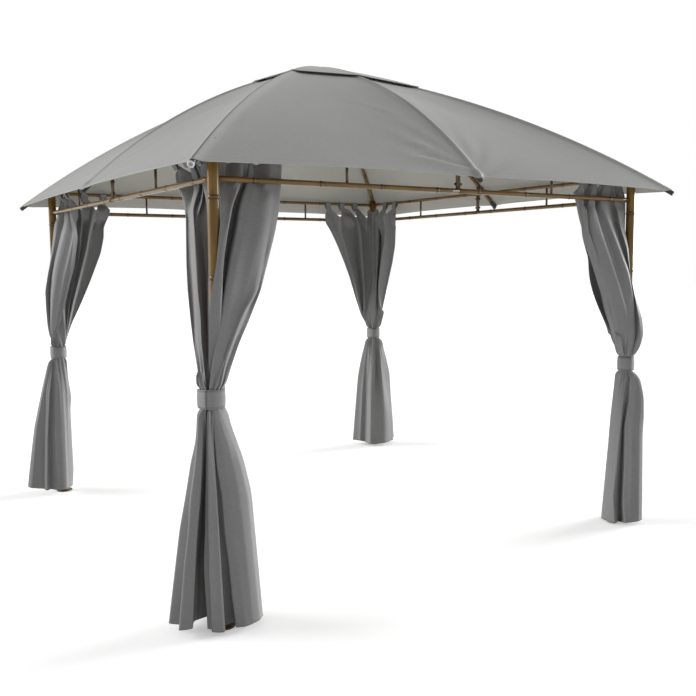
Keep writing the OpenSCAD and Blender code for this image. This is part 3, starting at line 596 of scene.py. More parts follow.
post_finish = bamboo_tube("printed bamboo on steel post", "#6a4f1b", "#523911", "#846528", 3.0, 0.12)
rail_finish = bamboo_tube("printed bamboo on steel rail", "#664b16", "#4e370d", "#80632b", 11.0, 0.55)
rib_finish = bamboo_tube("printed bamboo on steel rib", "#715524", "#583f16", "#8d6e35", 23.0, 0.20)
# The roof and the curtains are one fabric: the roof's paler grey is painted light and the curtains' darker
# grey is painted shade under the canopy
roof_cloth = woven_cloth("coated polyester roof cloth", "#969694", "#91918f", "#9b9b99", 0.004, 0.62)
curtain_cloth = woven_cloth("polyester curtain cloth", "#868686", "#818181", "#8b8b8b", 0.004, 0.70)
# Painted light: the roof cloth's inside is a paler grey than its top, for the light that shines through the
# cloth
roof_underside_painted_light = woven_cloth("roof underside paler as painted light through the cloth", "#aaa9a1", "#a5a49c", "#afaea6", 0.004, 0.6)
binding_tape = woven_cloth("binding tape", "#a0a09e", "#979794", "#ababa9", 0.003, 0.7)
black_plastic = grained("moulded black plastic", "#0e0e0f", "#1a1a1b", 0.45, 0.0, 0.002)
pale_plastic = grained("moulded grey plastic", "#cbcbc9", "#e0e0de", 0.40, 0.0, 0.002)
bronze_paint = grained("bronze paint on steel", "#46371d", "#64512d", 0.38, 0.55, 0.004)
black_steel = grained("blackened steel bolt", "#2b2721", "#423c33", 0.42, 0.8, 0.001)


# Paths: a function from places along a tube to points and to two unit vectors across it, and the length

def straight(start, end):
    """Path of a straight tube between two points."""
    start, end = np.asarray(start, float), np.asarray(end, float)
    length = float(np.linalg.norm(end - start))
    direction = (end - start) / length
    helper = UP if abs(direction[2]) < 0.9 else np.array([1.0, 0, 0])
    side = np.cross(helper, direction)
    side /= np.linalg.norm(side)
    up = np.cross(direction, side)

    def path(along):
        ones = np.ones((len(along), 1))
        return start + along[:, None] * direction, ones * side, ones * up

    return path, length


def roof_arc(reach, eave_z, radius):
    """A rib's arc through the crown and the eave, in its own upright plane: centre, radius and reach."""
    drop = CROWN_Z - eave_z
    chord = math.hypot(reach, drop)
    back = math.sqrt(radius ** 2 - chord ** 2 / 4)
    return reach / 2 - back * drop / chord, CROWN_Z - drop / 2 - back * reach / chord, radius, reach


HIP_ARC = roof_arc(HIP_REACH, CORNER_Z, HIP_RADIUS)
SIDE_ARC = roof_arc(SIDE_REACH, SIDE_Z, SIDE_RADIUS)


def arc_height(arc, distance, drop=0):
    """Height of an arc, or of one drop below it, at a distance from the middle."""
    x, z, radius, _ = arc
    return z + np.sqrt((radius - drop) ** 2 - (distance - x) ** 2)


def bent(arc, start, end, azimuth):
    """Path of a rib: an arc below the roof curve, from one distance from the middle to another."""
    x, z, radius, _ = arc
    rho = radius - RIB_DROP
    first = math.acos((start - x) / rho)
    last = math.acos((end - x) / rho)
    out = np.array([math.cos(azimuth), math.sin(azimuth), 0])
    across = np.array([-math.sin(azimuth), math.cos(azimuth), 0])

    def path(along):
        a = (first - along / rho)[:, None]
        radial = out * np.cos(a) + UP * np.sin(a)
        return out * x + UP * z + radial * rho, np.ones((len(along), 1)) * across, radial

    return path, (first - last) * rho


def turned(points, degrees):
    """Points turned about the Z axis."""
    a = math.radians(degrees)
    matrix = np.array([[math.cos(a), -math.sin(a), 0], [math.sin(a), math.cos(a), 0], [0, 0, 1]])
    return np.array(points) @ matrix.T


def corner_points(corner, local):
    """From a corner's own axes (x and y run inward along its two sides) to the frame."""
    sign = np.array([corner["x"], corner["y"]])
    out = local.copy()
    out[..., :2] = sign * (HALF - local[..., :2])
    return out


# Profiles carried along a path

def circles(side, up, around):
    """Angles round a tube, and a unit circle across its path at each place along it."""
    turn = np.arange(around) / around * TAU
    circle = side[:, None, :] * np.cos(turn)[None, :, None] + up[:, None, :] * np.sin(turn)[None, :, None]
    return turn[None, :], circle


def ring_gaps(along, rings):
    """Distance of each place along a tube from its nearest ring, or 1 m where it has none."""
    if len(rings) == 0:
        return np.full_like(along, 1.0)
    return np.abs(along[:, None] - np.asarray(rings)[None, :]).min(1)


def stations(length, rings):
    """Places along a tube: evenly spread, and close together on each ring."""
    even = np.linspace(0, length, max(2, int(length / STATION_PITCH)))
    close = np.reshape(rings, (-1, 1)) + RING_STATIONS
    every = np.unique(np.round(np.concatenate([even, close.ravel()]), 5))
    return every[(every >= 0) & (every <= length + 1e-4)]


def culm(parts, path, radius, length, rings, around, rise=RING_RISE, shade=0.0):
    """A bamboo tube: its radius swells to a ring at each node and has a fine groove beside it."""
    along = stations(length, rings)
    centre, side, up = path(along)
    gap = ring_gaps(along, rings)
    swell = rise * (np.exp(-(gap / RING_HALF) ** 4) - GROOVE_SHARE * bell(gap - GROOVE_AT, GROOVE_HALF))
    turn, circle = circles(side, up, around)
    points = centre[:, None, :] + circle * (radius + swell)[:, None, None]
    parts.grid(points, pairs(turn * radius, along[:, None]), wrap=True, ends=True, ring_gap=gap[:, None],
               shade=shade)


def turned_profile(parts, path, profile, around=28):
    """A profile of revolution carried along a path: pairs of a place along it and a radius."""
    along, radius = np.array(profile, float).T
    centre, side, up = path(along)
    turn, circle = circles(side, up, around)
    parts.grid(centre[:, None, :] + circle * radius[:, None, None], pairs(turn * 0.01, along[:, None]),
               wrap=True, ends=True)


# Frame: posts, side frames in halves, and ribs

for name, corner in CORNERS.items():
    parts = Parts()
    x, y = corner["x"] * HALF, corner["y"] * HALF
    path, length = straight((x, y, POST_BOTTOM), (x, y, POST_TOP))
    culm(parts, path, POST_R, length, np.arange(POST_RING_Z, LOWER_RAIL_Z, RING_PITCH) - POST_BOTTOM, 40)
    finish_piece(parts.build(name + "_bamboo_post", post_finish), "bamboo_tube", name + "_post")


def side_half(name, half_name, turn, end):
    """Half of a side frame: two rails from the post to the middle, a thin upright between them, and one in
    the middle that goes on up to the rib."""
    parts = Parts()
    for z in (LOWER_RAIL_Z, UPPER_RAIL_Z):
        ends = [[end * (HALF - RAIL_SEAT), -HALF, z], [end * RAIL_GAP, -HALF, z]]
        path, length = straight(*turned(ends, turn))
        rings = np.arange(RAIL_RING_START - RAIL_SEAT, length - RAIL_RING_END, RING_PITCH)
        culm(parts, path, RAIL_R, length, rings, 28)
    rib_z = arc_height(SIDE_ARC, HALF, RIB_DROP)
    for x, top in ((HALF / 2, UPPER_RAIL_Z), (UPRIGHT_R + UPRIGHT_GAP, rib_z)):
        ends = [[end * x, -HALF, LOWER_RAIL_Z], [end * x, -HALF, top]]
        path, length = straight(*turned(ends, turn))
        # Painted shade, with the uprights' own deeper brown: their colour is darkened by a share of 0.6
        culm(parts, path, UPRIGHT_R, length, [], 16, shade=0.6)
    finish_piece(parts.build(f"{name}_bamboo_frame_{half_name}", rail_finish), "bamboo_tube",
                 f"{name}_frame_{half_name}")


def rib(name, kind, arc, azimuth):
    """A bent rib from the hub to its end cap."""
    parts = Parts()
    path, length = bent(arc, HUB_R - RIB_SEAT, arc[3] + CAP_OUT - CAP_LENGTH, azimuth)
    rings = np.arange(RIB_RING_START, length - RIB_RING_END, RING_PITCH)
    culm(parts, path, RIB_R, length, rings, 24, RIB_RING_RISE)
    finish_piece(parts.build(f"{name}_bamboo_{kind}", rib_finish), "bamboo_tube", f"{name}_{kind}")


for name, (turn, first, second) in SIDES.items():
    side_half(name, first, turn, -1)
    side_half(name, second, turn, 1)
for name, corner in CORNERS.items():
    rib(name, "hip_rib", HIP_ARC, math.atan2(corner["y"], corner["x"]))
for name, (turn, _, _) in SIDES.items():
    rib(name, "rib", SIDE_ARC, math.radians(turn - 90))


# Roof cloth

# Creases: the eighth that each lies in, its start and end as (share of the way out, share from hip to side
# rib), and its height as a multiple of the wrinkles'
CREASES = [
    (5, (0.545, 0.55), (0.700, 0.87), 1.6), (5, (0.560, 0.60), (0.690, 0.80), -1.2),
    (5, (0.921, 0.80), (0.978, 0.985), 6.0), (5, (0.912, 0.795), (0.970, 0.98), -6.0),
    (5, (0.851, 0.78), (0.885, 0.87), 2.0),
    (4, (0.480, 0.30), (0.640, 0.62), 1.2), (4, (0.520, 0.62), (0.700, 0.80), -1.0),
    (6, (0.500, 0.80), (0.600, 0.93), 1.2), (1, (0.560, 0.50), (0.720, 0.85), 1.4),
    (0, (0.900, 0.70), (0.960, 0.94), 1.6), (2, (0.600, 0.55), (0.750, 0.80), 1.2),
    (3, (0.880, 0.75), (0.950, 0.95), 1.4), (7, (0.540, 0.60), (0.700, 0.86), -1.2),
]


def creases(s, w, d):
    """Sum of the creases of one eighth: a narrow bell across each line that fades at its two ends."""
    total = np.zeros_like(s)
    place = np.stack([s, w * s], -1) * EAVE_HALF
    for _, (s0, w0), (s1, w1), height in (crease for crease in CREASES if crease[0] == d):
        start = np.array([s0, w0 * s0]) * EAVE_HALF
        line = np.array([s1, w1 * s1]) * EAVE_HALF - start
        length = np.linalg.norm(line)
        along = ((place - start) @ line) / length ** 2
        off = ((place - start) @ np.array([-line[1], line[0]])) / length
        fade = smooth(along, -0.1, 0.3) * (1 - smooth(along, 0.7, 1.1))
        total += height * bell(off, CREASE_HALF) * fade
    return total


def roof_points(s, v, d):
    """Roof between direction d, of eight, and the next: straight across from rib to rib at one share s.

    Even directions are side ribs and odd ones are hips.
    """
    ends = []
    for k in (d, d + 1):
        arc = SIDE_ARC if k % 2 == 0 else HIP_ARC
        r = s * arc[3]
        a = math.radians(45 * k)
        ends.append(np.stack([r * math.cos(a), r * math.sin(a), arc_height(arc, r)], -1))
    return ends[0] * (1 - v[..., None]) + ends[1] * v[..., None]


def eighth_grid(rows, cols):
    """Row shares, closer together towards the eave, and column shares, closer together at the ribs."""
    t = 1 - (1 - np.linspace(0, 1, rows)) ** 1.5
    edge = np.array([0, 0.006, 0.012, 0.02, 0.03, 0.045, 0.065])
    v = np.concatenate([edge, np.linspace(0.09, 0.91, cols), 1 - edge[:0:-1]])
    return np.meshgrid(t, v, indexing="ij")


def roof_eighth(d, t, v, first, last, scallop, lift, wrinkle, sag, ridge, tips):
    """One eighth of a roof, from the share first to the share last of the way out.

    Between the ribs the cloth hangs a little below them, it is hollowed along the eave, and wrinkles run
    from each side rib's end; seams lie over the ribs and a hem runs along the eave. Gives points, hem, seam
    and UV.
    """
    side_first = d % 2 == 0
    from_side = v if side_first else 1 - v
    edge = last * (1 - scallop / EAVE_HALF * 4 * v * (1 - v))
    s = first + (edge - first) * t
    p = roof_points(s, v, d)
    to_side = from_side * s * EAVE_HALF
    to_hip = (1 - from_side) * s * EAVE_HALF
    out = (edge - s) * EAVE_HALF
    # The cloth lies on the rib tubes and hangs below them between
    hang = ridge * (1 - bell(to_side, RIDGE_AT_SIDE)) * (1 - bell(to_hip, RIDGE_AT_HIP))
    hang = hang + sag * 4 * v * (1 - v) * smooth(s, 0.22, 0.60) * (1 - (s / edge) ** 6)
    # Tension wrinkles fan out from the side rib's end
    angle = np.arctan2(out + 0.02, to_side + 0.02)
    fan = np.sin(angle * 16 + d * 1.7) * bell(np.hypot(out, to_side) - FAN_REACH, FAN_SPREAD)
    fan = fan * smooth(to_side, 0.02, 0.10)
    p[..., 2] += wrinkle * (fan + creases(s, 1 - from_side, d)) - hang * smooth(t, 0.0, 0.05)
    # Over each side rib's end the eave comes to a tip that covers the cap
    if tips:
        tip = np.exp(-(to_side / TIP_HALF) ** 4)
        ahead = math.radians(45 * (d if side_first else d + 1))
        forward = TIP_OUT * tip * (1 - smooth(out, 0.0, TIP_LENGTH))
        p[..., :2] += forward[..., None] * np.array([math.cos(ahead), math.sin(ahead)])
        p[..., 2] -= FLAP_DROP * tip * (1 - smooth(out, 0.0, FLAP_LENGTH))
    # Turned hem: a low step along the eave
    p[..., 2] += lift * (1 - 0.6 * t ** 2) + HEM_STEP * (1 - smooth(out, HEM_W - 0.002, HEM_W + 0.004))
    hem = 0.35 * (1 - smooth(out, HEM_W - 0.004, HEM_W + 0.002))
    seam = np.maximum(bell(to_hip, HIP_SEAM_HALF), 0.5 * bell(to_side - SIDE_STITCH_AT, 0.002))
    seam = 0.8 * np.maximum(seam, 0.2 * bell(out - HEM_W, 0.0015))
    uv = np.stack([d * 2.0 + v * EAVE_HALF, s * EAVE_HALF * 1.2], -1)
    return p, hem, seam, uv


def roof_sheet(name, nodes, rows, cols, *shape):
    """A whole roof of eight eighths, closed round the middle, with a paler grey on its inside that paints
    the light coming through the cloth.
    """
    t, v = eighth_grid(rows, cols)
    eighths = [roof_eighth(d, t, v, *shape) for d in range(8)]
    points, hem, seam, uv = (
        np.concatenate([block[:, :-1] for block in blocks], 1) for blocks in zip(*eighths))
    faces = grid_faces(rows, points.shape[1], wrap=True)[:, ::-1]
    piece = mesh_object(name, points, faces, roof_cloth, uv, {"hem": hem, "seam": seam})
    piece.data.materials.append(roof_underside_painted_light)
    thicken(piece, ROOF_THICK, -1).material_offset = 1
    finish_piece(piece, "roof_cloth", *nodes)
    return piece, points


def edge_binding(name, rim, radius):
    """A sewn binding tape rolled round the edge of a sheet: a small tube along the closed rim."""
    ahead = np.roll(rim, -1, 0) - np.roll(rim, 1, 0)
    ahead /= np.linalg.norm(ahead, axis=1, keepdims=True)
    up = UP - ahead * ahead[:, 2:3]
    up /= np.linalg.norm(up, axis=1, keepdims=True)
    turn, circle = circles(np.cross(ahead, up), up, 8)
    points = rim[:, None, :] + circle * radius - BINDING_DROP * UP
    points = np.concatenate([points, points[:1]], 0)
    parts = Parts()
    uv = pairs(turn * radius, np.arange(len(points))[:, None] * 0.02)
    parts.grid(points, uv, wrap=True, hem=0.0, seam=0.0)
    finish_piece(parts.build(name, binding_tape), "roof_cloth")


# Each roof: rows and columns of an eighth, its first and last share of the way out, hollow of the edge,
# lift, height of the wrinkles, sag between the ribs, height of the ridges, and whether it has tips
canopy, canopy_points = roof_sheet("canopy", [name + "_roof_panel" for name in SIDES], 90, 26,
                                   VENT_HALF / EAVE_HALF, 1.0, SCALLOP, 0.0, 0.0025, 0.034, 0.010, True)
vent_cap, cap_points = roof_sheet("vent_cap_cloth", ["vent_cap"], 20, 12,
                                  0.0, VENT_CAP_HALF / EAVE_HALF, VENT_SCALLOP, VENT_LIFT, 0.0, 0.0, 0.002,
                                  False)
edge_binding("eave_binding", canopy_points[-1], 0.0022)
edge_binding("vent_cap_binding", cap_points[-1], 0.0020)


# Curtains

def soft_step(x):
    """0 before the corner and x after it, with a round bend between."""
    return (x + np.sqrt(x * x + CORNER_BEND ** 2)) / 2


def fold_wave(phase):
    """One fold a turn: 0 on a broad crest towards the rail, 1 in the depth of the fold."""
    return (1 - np.cos(phase) + 0.25 * (np.cos(2 * phase) - 1)) / 2


def rounded(values, width, axis):
    """Values averaged along an axis with a bell of the given odd width."""
    kernel = np.hanning(width + 2)[1:-1] / np.hanning(width + 2).sum()
    ends = [(width // 2, width // 2) if k == axis else (0, 0) for k in range(values.ndim)]
    return np.apply_along_axis(np.convolve, axis, np.pad(values, ends, mode="edge"), kernel, "valid")


def follow(flat, s, stage, corner):
    """Draw the cloth to its fold lines: at each height the shift changes evenly from one line to the next.

    Each line eases in above its first point and out below its last one.
    """
    sign = np.array([corner["x"], corner["y"]])
    seen = np.array(EYE[:2]) - sign * HALF
    seen = seen / np.linalg.norm(seen)
    towards = -sign * seen
    sideways = -sign * np.array([-seen[1], seen[0]])
    places = np.array([place for place, _ in corner["lines"]])
    level = stage[:, 0]
    columns = np.abs(s - places[:, None]).argmin(1)
    moves = []
    for column, (_, track) in zip(columns, corner["lines"]):
        at, across, out = (np.array(track) * [1, 0.001, 0.001]).T
        at = at + TIE_STAGE * (2 - at) * (at > 1)
        aim = pairs(np.interp(level, at, across), np.interp(level, at, out)) @ np.stack([sideways, towards])
        ease = smooth(level, at[0] - 0.16, at[0] + 0.04)
        if at[-1] < 2:
            ease = ease * (1 - smooth(level, at[-1] + 0.02, at[-1] + 0.2))
        moves.append((aim - flat[:, column]) * ease[:, None])
    moves = rounded(np.stack(moves, 1), 7, 0)
    after = np.clip(np.searchsorted(places, s[0]), 1, len(places) - 1)
    share = np.clip((s[0] - places[after - 1]) / (places[after] - places[after - 1]), 0, 1)[None, :, None]
    shift = moves[:, after - 1] * (1 - share) + moves[:, after] * share
    return flat + rounded(shift, 3, 1)


def drawn_in(flat, distance, corner):
    """Hold the cloth inside the tieback: the greater the distance from the band, the wider it may stand."""
    centre = np.array(corner["tie"])
    away = flat - centre
    r = np.linalg.norm(away, axis=-1)
    limit = corner["band"] - TIE_PINCH + TIE_SPREAD * distance
    return centre + away * (limit / (r ** 8 + limit ** 8) ** 0.125)[..., None]


def clear_of_post(flat):
    """Push points that lie in the post out to its surface and a little more."""
    r = np.linalg.norm(flat, axis=-1, keepdims=True)
    return flat * np.maximum(1, POST_CLEAR / np.maximum(r, 1e-6))


def inside_rails(flat, z, along):
    """Keep the cloth on the room's side of the lower rails."""
    near = np.exp(-((z - LOWER_RAIL_Z) / RAIL_NEAR) ** 4)
    short = np.maximum(RAIL_CLEAR - flat, 0)
    return flat + short * np.stack([near * along, near * (1 - along)], -1)


def curtain_path(corner, s, legs, along, above, below):
    """Paths that the cloth's folds stand out from, blended by height.

    They run along the rails at the top, round the post at the tieback and round a rounded box below.
    """
    d = legs[0] - s
    top = TAB_LINE + np.stack([soft_step(d), soft_step(-d)], -1)
    angle = math.radians(45) - WRAP * np.where(d > 0, d / legs[0], d / legs[1])
    turn = np.stack([np.cos(angle), np.sin(angle)], -1)
    ring = turn * TIE_INNER + np.array(corner["tie"])
    p0, p1, q0, q1 = corner["hem"]
    size = np.array([p1 - p0, q1 - q0]) / 2 - FOOT_INSET
    box = turn * ((np.abs(turn) / size) ** 3).sum(-1, keepdims=True) ** (-1 / 3)
    box = box + np.array([p0 + p1, q0 + q1]) / 2
    slack = corner["slack"][0] * (1 - along) + corner["slack"][1] * along
    gathered = ((1 - above) ** slack)[..., None]
    flare = (below ** 0.75)[..., None]
    return (top * (1 - gathered) + ring * gathered) * (1 - flare) + box * flare


def fold_depth(s, stage, total, along, near_tie, phases, random):
    """How far the folds stand out, one fold a tab: deep under the rail, flat in the tieback, wide below it.

    They keep their place down the cloth and wander a little with height, and fine gathers run into the
    tieback.
    """
    held = smooth(stage, 0.0, 0.25)
    wander = 0.5 * np.sin(stage * 2.1 + random[0]) + 0.3 * np.sin(stage * 4.3 + random[1])
    lean = held * (wander + 0.5 * np.sin(s * 9 + random[2] + stage * 1.3))
    wave = fold_wave(phases[0] + lean) * (1 - along) + fold_wave(phases[1] + lean) * along
    uneven = 1 + 0.35 * held * np.sin(s * 14 + random[3]) * np.cos(stage * 1.7 + random[4])
    depth = FOLD_DEPTH + FOLD_SWELL * np.sin(np.pi * np.clip(stage, 0, 1))
    depth = depth * (1 - smooth(stage, 0.55, 1.0)) + FOLD_LEAST + FOLD_FLARE * smooth(stage, 1.0, 1.45)
    gather = 1 + np.sin(TAU * GATHERS * s / total + random[5] + 3 * np.sin(s * 11))
    gather = GATHER_DEPTH * near_tie * gather
    return depth * uneven * wave, gather


def curtain_grid(corner, tie_lo, tie_hi, seed, rows=170, cols=230):
    """Points of one curtain in its corner's own axes.

    Folds stand out from the blended paths, away from the rail or post; the cloth is then drawn to its fold
    lines and held by the tieback, and its heights run from the tabs to the tieback and to the bottom edge.
    """
    random = np.random.default_rng(seed).uniform(0, TAU, 7)
    legs = [reach - TAB_LINE for reach in corner["reach"]]
    total = sum(legs)
    s = np.linspace(0, total, cols)[None, :]
    upper = int(rows * ROWS_ABOVE_TIE)
    stage = np.concatenate([np.linspace(0, 1, upper), np.linspace(1, 1 + TIE_STAGE, 12)[1:-1],
                            np.linspace(1 + TIE_STAGE, 2, rows - upper - 10)])[:, None]
    above = 1 - np.clip(stage, 0, 1)
    in_band = np.clip((stage - 1) / TIE_STAGE, 0, 1)
    below = np.clip((stage - 1 - TIE_STAGE) / (1 - TIE_STAGE), 0, 1)
    along = smooth(s, legs[0] - CORNER_BLEND, legs[0] + CORNER_BLEND)
    phases = [TAU * (place - FIRST_TAB) / TAB_PITCH for place in (s, total - s)]

    base = curtain_path(corner, s, legs, along, above, below)
    ahead = np.gradient(base, axis=1)
    ahead /= np.maximum(np.linalg.norm(ahead, axis=-1, keepdims=True), 1e-9)
    away = np.stack([ahead[..., 1], -ahead[..., 0]], -1)
    near_tie = np.exp(-above * GATHER_FADE[0] - below * GATHER_FADE[1])
    depth, gather = fold_depth(s, stage, total, along, near_tie, phases, random)
    # Beside a fold line the line gives most of the fold
    to_line = np.abs(s[0][:, None] - np.array([place for place, _ in corner["lines"]])).min(1)[None, :]
    keep = 1 - 0.75 * smooth(stage, 0.05, 0.2) * np.exp(-(to_line / FOLD_LINE_REACH) ** 4)
    flat = base + away * (keep * depth + gather)[..., None]
    flat = drawn_in(follow(flat, s, stage, corner), above * TIE_TO_TOP + below * TIE_TO_FOOT, corner)
    flat = clear_of_post(flat)

    # Heights: the top edge dips between tabs and at the free ears, the bottom edge waves a little
    ear = np.minimum(s, total - s)
    dip = (fold_wave(phases[0]) * (1 - along) + fold_wave(phases[1]) * along) ** 0.8
    dip = np.where(ear < FIRST_TAB, np.clip(1 - ear / FIRST_TAB, 0, 1) ** 0.9 * 0.9, dip)
    sag = corner["sag"]
    z_top = UPPER_RAIL_Z - TAB_FOOT - (sag[0] * (1 - along) + sag[1] * along) * dip
    wavy = corner["clear"] + FOOT_WAVE * (1 + np.sin(s * 12 + random[6]))
    wavy = wavy + corner["tilt"] * (s / total - 0.5)
    wavy = wavy + 0.2 * ((flat[-1] - flat[upper]) ** 2).sum(-1)[None, :]
    z = z_top * above + (tie_hi + TIE_MARGIN) * (1 - above)
    z = z + (tie_lo - TIE_MARGIN - z) * in_band
    z = z + (wavy - z) * below
    flat = clear_of_post(inside_rails(flat, z, along))
    return np.concatenate([flat, z[..., None]], -1)


def curtain_piece(name, corner, points):
    """The curtain's sheet, with sewn hems along its free sides and its bottom edge."""
    rows, cols = points.shape[:2]
    across = np.concatenate([[0], np.cumsum(np.linalg.norm(np.diff(points[0], axis=0), axis=1))])
    down = UPPER_RAIL_Z - WEAVE_TOP - points[..., 2]
    to_side = np.minimum(across, across[-1] - across)[None, :]
    to_foot = down.max(0) - down
    hem = np.maximum(0.08 * (1 - smooth(to_side, SIDE_HEM_W - 0.002, SIDE_HEM_W + 0.002)),
                     0.15 * (1 - smooth(to_foot, FOOT_HEM_W - 0.002, FOOT_HEM_W + 0.002)))
    stitch = np.maximum(bell(to_side - SIDE_HEM_W, 0.0015), bell(to_foot - FOOT_HEM_W, 0.002))
    faces = grid_faces(rows, cols)
    if corner["x"] * corner["y"] < 0:
        faces = faces[:, ::-1]
    piece = mesh_object(name + "_curtain_cloth", points, faces, curtain_cloth, pairs(across[None, :], down),
                        {"hem": hem, "seam": 0.5 * stitch})
    thicken(piece, CURTAIN_THICK)
    return finish_piece(piece, "curtain_cloth", name + "_curtain")


def tab_piece(name, corner):
    """The curtain's tabs: loops over the upper rails whose two sides meet at the curtain's top edge."""
    turn = np.radians(np.linspace(-25, 205, 40))
    loop = np.stack([np.cos(turn), np.sin(turn)], -1) * (RAIL_R + TAB_EASE)
    foot = np.array([TAB_LINE * 0.8, -TAB_FOOT - TAB_TUCK])
    apart = np.array([0.0012, 0])
    share = np.linspace(0, 1, 12)[:, None]
    loop = np.concatenate([foot + (loop[0] - foot) * share[:-1] + apart, loop,
                           loop[-1] + (foot - loop[-1]) * share[1:] - apart])
    w = np.linspace(-0.5, 0.5, 9)[None, :] * TAB_W
    stitch = bell(np.abs(w) - TAB_STITCH, 0.0015)
    parts = Parts()
    for leg, reach in enumerate(corner["reach"]):
        for at in np.arange(reach - FIRST_TAB, LAST_TAB, -TAB_PITCH):
            axes = np.broadcast_arrays(at + w, loop[:, :1], loop[:, 1:] + UPPER_RAIL_Z)
            shape = np.stack(axes if leg == 0 else [axes[1], axes[0], axes[2]], -1)
            uv = pairs(w, np.linspace(0, 0.25, len(loop))[:, None])
            parts.grid(corner_points(corner, shape), uv, hem=0.0, seam=0.4 * stitch)
    piece = parts.build(name + "_cloth_tabs", curtain_cloth)
    thicken(piece, TAB_THICK)
    return finish_piece(piece, "curtain_cloth", name + "_curtain_tabs")


def tie_piece(name, corner, tie_lo, tie_hi, index):
    """The tieback: a band wound a little more than once round the gathered cloth, so its end overlaps."""
    start = math.radians(corner["seam"])
    turn = np.linspace(0, TAU * 1.12, 120)[None, :] + start
    height = np.linspace(-0.5, 0.5, 14)[:, None]
    bundle = corner["band"] + 0.0015 * np.sin(turn * 5 + index) + 0.004 * (turn - start) / TAU
    bundle = bundle + 0.0025 * np.cos(height * np.pi)
    z = (tie_lo + tie_hi) / 2 + height * (tie_hi - tie_lo) * (1 + 0.04 * np.sin(turn * 2 + index))
    x, y = corner["tie"]
    band = np.stack([x + bundle * np.cos(turn), y + bundle * np.sin(turn), z], -1)
    parts = Parts()
    parts.grid(corner_points(corner, band), pairs(turn * 0.05, height * 0.08), hem=0.3,
               seam=0.4 * bell(np.abs(height) - 0.42, 0.02))
    piece = parts.build(name + "_tie_band", curtain_cloth)
    thicken(piece, TIE_THICK)
    return finish_piece(piece, "curtain_cloth", name + "_tieback")


for index, (name, corner) in enumerate(CORNERS.items()):
    tie_lo, tie_hi = (end.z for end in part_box(name + "_tieback"))
    points = corner_points(corner, curtain_grid(corner, tie_lo, tie_hi, 40 + index))
    curtain = curtain_piece(name, corner, points)
    tabs = tab_piece(name, corner)
    tie = tie_piece(name, corner, tie_lo, tie_hi, index)


# End caps, bolts and the solids that are carried over

def end_caps(name, arc, turns, node, ringed):
    """Plastic caps on the rib ends: a black sleeve with a round rim and, if ringed, a pale ring and a pale
    dot inside the end, which is a painted highlight.
    """
    sleeves, rings = Parts(), Parts()
    r = RIB_R
    for azimuth in np.radians(turns):
        path, end = bent(arc, arc[3] + CAP_OUT - CAP_LENGTH, arc[3] + CAP_OUT, azimuth)
        sink = end - 0.010
        sleeve = [(0, r), (0.001, r + 0.0006), (0.004, r + 0.001), (sink, r + 0.001),
                  (end - 0.004, r + 0.002), (end - 0.001, r + 0.0015), (end, r + 0.0004),
                  (end, r - 0.003), (sink, r - 0.004)]
        pale_ring = [(end - 0.003, r + 0.0012), (end, r + 0.0032), (end + 0.002, r + 0.002),
                     (end + 0.002, r - 0.002), (end, r - 0.0035), (end - 0.003, r - 0.0038)]
        # Painted highlight: a pale dot inside the cap's end
        highlight_dot = [(sink, 0.003), (sink + 0.004, 0.003), (sink + 0.005, 0.0018)]
        turned_profile(sleeves, path, sleeve)
        turned_profile(rings, path, pale_ring)
        turned_profile(rings, path, highlight_dot, 12)
    finish_piece(sleeves.build(name, black_plastic), "end_cap_black", node)
    if ringed:
        finish_piece(rings.build(name + "_rings", pale_plastic), "end_cap_black")


def bolt(parts, path, end):
    """A bolt along a path: six-sided head, washer, shank, washer, and a six-sided nut with a dome."""
    head = [(0, 0.0052), (0.0008, 0.0062), (0.0048, 0.0062), (0.005, 0.0056)]
    shank = [(0.006, 0.003), (end - 0.008, 0.003)]
    nut = [(end - 0.007, 0.0058), (end - 0.0068, 0.0063), (end - 0.003, 0.0063), (end - 0.0028, 0.0056)]
    dome = [(end - 0.003, 0.0052), (end - 0.0016, 0.0046), (end - 0.0006, 0.003), (end, 0.001)]
    washers = [[(at, 0.0074), (at + 0.0002, 0.0078), (at + 0.0013, 0.0078), (at + 0.0015, 0.0074)]
               for at in (0.005, end - 0.0085)]
    for profile, sides in zip([head, washers[0], shank, washers[1], nut, dome], [6, 20, 16, 20, 6, 20]):
        turned_profile(parts, path, profile, sides)


end_caps("hip_cap_sleeves", HIP_ARC, [45, 135, 225, 315], "hip_end_caps", True)
end_caps("side_cap_sleeves", SIDE_ARC, [0, 90, 180, 270], "side_end_caps", False)

# Two bolts hold the doubled uprights in the middle of each side together
BOLT_INSET = 0.034
BOLT_HEAD = 0.008
BOLT_NUT = 0.010
for name, (turn, _, _) in SIDES.items():
    bolts = Parts()
    reach = 2 * UPRIGHT_R + UPRIGHT_GAP
    for z in (LOWER_RAIL_Z + BOLT_INSET, UPPER_RAIL_Z - BOLT_INSET):
        ends = [[-reach - BOLT_HEAD, -HALF, z], [reach + BOLT_NUT, -HALF, z]]
        bolt(bolts, *straight(*turned(ends, turn)))
    finish_piece(bolts.build(name + "_upright_bolts", black_steel), "end_cap_black")

# The feet and the hub are the solids themselves
for name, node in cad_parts.items():
    if name.endswith("_foot") or name == "crown_hub":
        node.data.materials.clear()
        node.data.materials.append(bronze_paint)


# Stage, light and camera

IMAGE_PX = 696
FOCAL_PX = 829.7
SENSOR = 36
YAW, PITCH, ROLL = np.radians([-33.11, -5.872, -0.476])
FLOOR_HALF = 40
FLOOR_LIFT = 0.35
SKY = 0.32


def background_rays(tree):
    """1 for a ray that shows the background to the camera, straight or by way of metal or glass, else 0."""
    path = add(tree, "ShaderNodeLightPath")
    shown = add(tree, "ShaderNodeMath",
                {0: path.outputs["Is Camera Ray"], 1: path.outputs["Is Glossy Ray"]}, operation="MAXIMUM")
    shown = add(tree, "ShaderNodeMath", {0: shown.outputs["Value"], 1: path.outputs["Is Transmission Ray"]},
                operation="MAXIMUM")
    return shown.outputs["Value"]


